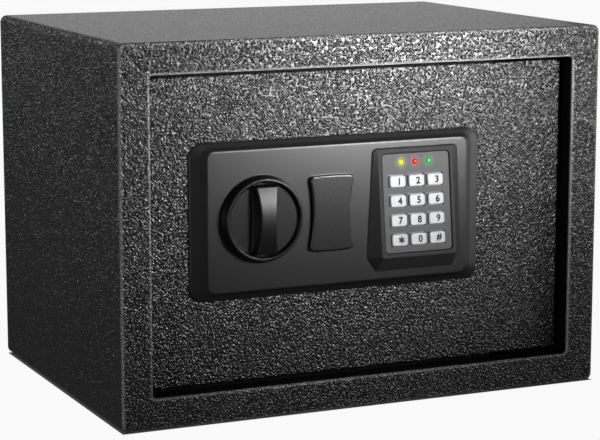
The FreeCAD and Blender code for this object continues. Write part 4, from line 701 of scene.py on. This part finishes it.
# %% [markdown]
# The cover inside the door is held by four pan-head screws. Their solids are plain turned heads, and the
# real ones have a rolled edge and a cross recess for the driver. A copy of the solids gets its heads' edges
# bevelled, and a boolean with crossed bars cuts the recesses.

# %% Cross-recessed screws
HEAD_EDGE_MM = 0.9
RECESS_LENGTH_MM = 4.2
RECESS_WIDTH_MM = 0.9
RECESS_DEPTH_MM = 1.2


def rolled_heads():
    """The screws with their heads' edges rolled, and the middles of the heads' flat tops."""
    bm = merged_copy("cover_screws")
    head_top = max(vertex.co.y for vertex in bm.verts)
    tops = [face for face in bm.faces if abs(face.calc_center_median().y - head_top) < LEVEL_MM * MM]
    centres = [face.calc_center_bounds() for face in tops]
    bmesh.ops.bevel(
        bm, geom=edges_at_level(bm, 1, head_top), offset=HEAD_EDGE_MM * MM, affect="EDGES", segments=4,
        profile=0.5, material=-1, clamp_overlap=True,
    )
    mesh = bpy.data.meshes.new("cover_screw_heads")
    bm.to_mesh(mesh)
    bm.free()
    return bpy.data.objects.new("cover_screw_heads", mesh), centres


def driver_bars(centres):
    """Two crossed bars over each head, as deep in it as the recess."""
    bm = bmesh.new()
    for centre in centres:
        for long_axis in (0, 2):
            size = Vector((RECESS_WIDTH_MM, 2 * RECESS_DEPTH_MM, RECESS_WIDTH_MM)) * MM
            size[long_axis] = RECESS_LENGTH_MM * MM
            place = Matrix.Translation(centre) @ Matrix.Diagonal((*size, 1))
            bmesh.ops.create_cube(bm, size=1, matrix=place)
    mesh = bpy.data.meshes.new("driver_bars")
    bm.to_mesh(mesh)
    bm.free()
    bars = bpy.data.objects.new("driver_bars", mesh)
    bpy.context.scene.collection.objects.link(bars)
    return bars


def make_cover_screws():
    blank, centres = rolled_heads()
    cutter = driver_bars(centres)
    cut = blank.modifiers.new("recess", "BOOLEAN")
    cut.operation = "DIFFERENCE"
    cut.object = cutter
    cut.use_self = True
    recessed = evaluated_mesh(blank)
    bpy.data.objects.remove(cutter)
    return add_piece("cross_recessed_screws", recessed, finishes["plated_steel"], "door")


screws = make_cover_screws()
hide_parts("cover_screws")
print("screws:", len(screws.data.polygons), "faces")

# %% [markdown]
# The keypad's wires run in one braided sleeve through the door to the solenoid. The solid is straight runs
# and arcs, which looks like bent wire, so a smooth spline with the same five points takes its place.

# %% Wire loom
LOOM_DIAMETER_MM = 3.0
LOOM_ROUTE_MM = [
    (36.5, -113.0, 136.0),
    (36.5, -103.0, 136.0),
    (-14.4, -103.0, 82.8),
    (-30.4, -90.75, 82.8),
    (-46.4, -90.75, 82.8),
]


def make_loom():
    curve = bpy.data.curves.new("wire_sleeve", "CURVE")
    curve.dimensions = "3D"
    curve.bevel_depth = LOOM_DIAMETER_MM * MM / 2
    curve.bevel_resolution = 3
    curve.use_fill_caps = True
    line = curve.splines.new("NURBS")
    line.points.add(len(LOOM_ROUTE_MM) - 1)
    for point, place in zip(line.points, LOOM_ROUTE_MM):
        point.co = (*(Vector(place) * MM), 1)
    line.order_u = 3
    line.use_endpoint_u = True
    curve.materials.append(finishes["wire_sleeve"])
    loom = bpy.data.objects.new("wire_sleeve", curve)
    bpy.context.scene.collection.objects.link(loom)
    return loom


loom = make_loom()
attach(loom, "door")
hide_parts("wire_loom")
print("loom through", len(LOOM_ROUTE_MM), "points")

# %% [markdown]
# The floor of the safe has a loose felt mat. Its solid has sharp edges, which felt never has, so a copy of
# it gets its edges rolled over. It lies flat on the steel, cut round the two anchor holes.

# %% Felt mat
MAT_EDGE_MM = 0.8


def make_felt_mat():
    bm = merged_copy("floor_mat")
    bmesh.ops.bevel(
        bm, geom=edges_at_level(bm, 2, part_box("floor_mat")[1].z), offset=MAT_EDGE_MM * MM, affect="EDGES",
        segments=3, profile=0.5, material=-1, clamp_overlap=True,
    )
    mesh = bpy.data.meshes.new("felt_mat")
    bm.to_mesh(mesh)
    bm.free()
    return add_piece("felt_mat", mesh, finishes["felt"], "cabinet")


felt_mat = make_felt_mat()
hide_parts("floor_mat")

# %% [markdown]
# Safes are photographed on a white sweep under soft light. The sweep is white to the camera. In reflections
# it is only a share as bright, because the room round the lit sweep is dim, and the black coat has to stay
# black.

# %% Glow of the sweep
SWEEP_IN_GLOSS_SHARE = 0.07


def sweep_glow(tree):
    """Where the sweep glows, to the camera, in refractions and in reflections, and how strongly."""
    path = add_node(tree, "ShaderNodeLightPath")
    seen = add_node(tree, "ShaderNodeMath", {
        0: path.outputs["Is Camera Ray"], 1: path.outputs["Is Glossy Ray"],
    }, operation="MAXIMUM")
    through = add_node(tree, "ShaderNodeMath", {
        0: seen.outputs["Value"], 1: path.outputs["Is Transmission Ray"],
    }, operation="MAXIMUM")
    strength = add_node(tree, "ShaderNodeMapRange", {
        "Value": path.outputs["Is Glossy Ray"], "To Min": 1.0, "To Max": SWEEP_IN_GLOSS_SHARE,
    })
    return through.outputs["Value"], strength.outputs["Result"]


print("the sweep shows in reflections at a share of", SWEEP_IN_GLOSS_SHARE)

# %% [markdown]
# The floor keeps a faint shadow round the box, and under it there is no glow, so that the anchor holes look
# dark.

# %% Floor
FLOOR_SIZE_MM = 12000.0
SWEEP_GLOW_SHARE = 0.95


def outside_footprint(tree, place):
    """A factor that is 0 on the floor under the box, where no light gets in, and 1 elsewhere."""
    low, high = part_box("cabinet_shell")
    offset = add_node(tree, "ShaderNodeVectorMath", {0: place, 1: (low + high) / 2}, operation="SUBTRACT")
    reach = add_node(tree, "ShaderNodeVectorMath", {0: offset.outputs["Vector"]}, operation="ABSOLUTE")
    share = add_node(tree, "ShaderNodeVectorMath", {
        0: reach.outputs["Vector"], 1: (high - low) / 2,
    }, operation="DIVIDE")
    sides = add_node(tree, "ShaderNodeSeparateXYZ", {"Vector": share.outputs["Vector"]})
    furthest = add_node(tree, "ShaderNodeMath", {
        0: sides.outputs["X"], 1: sides.outputs["Y"],
    }, operation="MAXIMUM")
    return add_node(tree, "ShaderNodeMath", {
        0: furthest.outputs["Value"], 1: 1.0,
    }, operation="GREATER_THAN").outputs["Value"]


def white_sweep():
    material, tree, shader, place = start_finish("white_sweep")
    set_inputs(tree, shader, {"Base Color": colour("#b9b9b9"), "Roughness": 0.9})
    seen, strength = sweep_glow(tree)
    glow = add_node(tree, "ShaderNodeEmission", {"Color": (1, 1, 1, 1), "Strength": strength})
    share = add_node(tree, "ShaderNodeMath", {0: seen, 1: SWEEP_GLOW_SHARE}, operation="MULTIPLY")
    lit = add_node(tree, "ShaderNodeMath", {
        0: share.outputs["Value"], 1: outside_footprint(tree, place),
    }, operation="MULTIPLY")
    mixed = add_node(tree, "ShaderNodeMixShader", {
        "Fac": lit.outputs["Value"], 1: shader.outputs["BSDF"], 2: glow.outputs["Emission"],
    })
    set_inputs(tree, tree.nodes["Material Output"], {"Surface": mixed.outputs["Shader"]})
    return material


def make_floor():
    bm = bmesh.new()
    bmesh.ops.create_grid(bm, x_segments=1, y_segments=1, size=FLOOR_SIZE_MM * MM / 2)
    mesh = bpy.data.meshes.new("floor")
    bm.to_mesh(mesh)
    bm.free()
    mesh.materials.append(white_sweep())
    floor = bpy.data.objects.new("floor", mesh)
    bpy.context.scene.collection.objects.link(floor)
    return floor


print("stage:", make_floor().name)

# %% [markdown]
# Beyond the floor the world is as white to the camera as the sweep. It gives a weak light from all sides.

# %% World
WORLD_LIGHT = 0.05


def make_world():
    world = bpy.data.worlds.new("studio")
    world.use_nodes = True
    sky = world.node_tree
    sky.nodes.clear()
    dim = add_node(sky, "ShaderNodeBackground", {"Color": (1, 1, 1, 1), "Strength": WORLD_LIGHT})
    seen, strength = sweep_glow(sky)
    bright = add_node(sky, "ShaderNodeBackground", {"Color": (1, 1, 1, 1), "Strength": strength})
    choice = add_node(sky, "ShaderNodeMixShader", {
        "Fac": seen, 1: dim.outputs["Background"], 2: bright.outputs["Background"],
    })
    add_node(sky, "ShaderNodeOutputWorld", {"Surface": choice.outputs["Shader"]})
    bpy.context.scene.world = world
    return world


print("world:", make_world().name)

# %% [markdown]
# One softbox hangs close in front of the door's top, a little to the right, where the door mirrors it to the
# camera. Being near, and turned to the top, it lights the door's top far more than its foot, and the pebbles
# on their upper sides. A large one behind puts a sheen on the top of the box, and a weak one on the right
# fills the face frame. On the left one stands behind the box and one in front of it, for the left side's
# pebbles and the edges that turn towards it. Places are in millimetres, like the camera's.

# %% Lamps of the studio
def softbox(name, place_mm, aim_mm, side_mm, watts, spread_degrees=180):
    data = bpy.data.lights.new(name, "AREA")
    data.shape = "SQUARE"
    data.spread = math.radians(spread_degrees)
    data.size = side_mm * MM
    data.energy = watts
    lamp = bpy.data.objects.new(name, data)
    bpy.context.scene.collection.objects.link(lamp)
    lamp.location = Vector(place_mm) * MM
    lamp.rotation_mode = "QUATERNION"
    lamp.rotation_quaternion = (Vector(aim_mm) - Vector(place_mm)).to_track_quat("-Z", "Y")
    lamp.visible_camera = False
    return lamp


lamps = [
    softbox("front_softbox", (220, -530, 270), (10, -118, 262), side_mm=170, watts=0.74, spread_degrees=56),
    softbox("back_softbox", (350, 850, 430), (0, 0, 250), side_mm=700, watts=1.1),
    softbox("right_softbox", (720, -460, 150), (0, -118, 130), side_mm=300, watts=0.8),
    softbox("rim_softbox", (-600, 800, 520), (-175, 0, 160), side_mm=200, watts=1.2),
    softbox("side_softbox", (-1100, -560, 120), (-175, -125, 130), side_mm=240, watts=2.6),
]
print("softboxes, W:", [round(lamp.data.energy, 1) for lamp in lamps])

# %% [markdown]
# From behind, the front lamp would mirror in the top of the box as a white patch. A photographer hangs a
# black card, a flag, between the two. This one stands just above the front edge and only shades the top. The
# camera doesn't see it.

# %% Flag
FLAG_WIDTH_MM = 700.0
FLAG_HEIGHT_MM = 60.0
FLAG_IN_FRONT_MM = 3.0
FLAG_ABOVE_MM = 1.0


def make_flag():
    low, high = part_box("cabinet_shell")
    foot = high.z + FLAG_ABOVE_MM * MM
    centre = Vector((0, low.y - FLAG_IN_FRONT_MM * MM, foot + FLAG_HEIGHT_MM * MM / 2))
    upright = Matrix.Rotation(math.radians(90), 4, "X")
    size = Matrix.Diagonal((FLAG_WIDTH_MM * MM, FLAG_HEIGHT_MM * MM, 1, 1))
    bm = bmesh.new()
    bmesh.ops.create_grid(
        bm, x_segments=1, y_segments=1, size=0.5, matrix=Matrix.Translation(centre) @ upright @ size,
    )
    mesh = bpy.data.meshes.new("flag")
    bm.to_mesh(mesh)
    bm.free()
    material, tree, shader, _ = start_finish("black_card")
    set_inputs(tree, shader, {"Base Color": colour("#050505"), "Roughness": 1.0})
    mesh.materials.append(material)
    flag = bpy.data.objects.new("flag", mesh)
    bpy.context.scene.collection.objects.link(flag)
    flag.visible_camera = False
    return flag


print("stage:", make_flag().name)
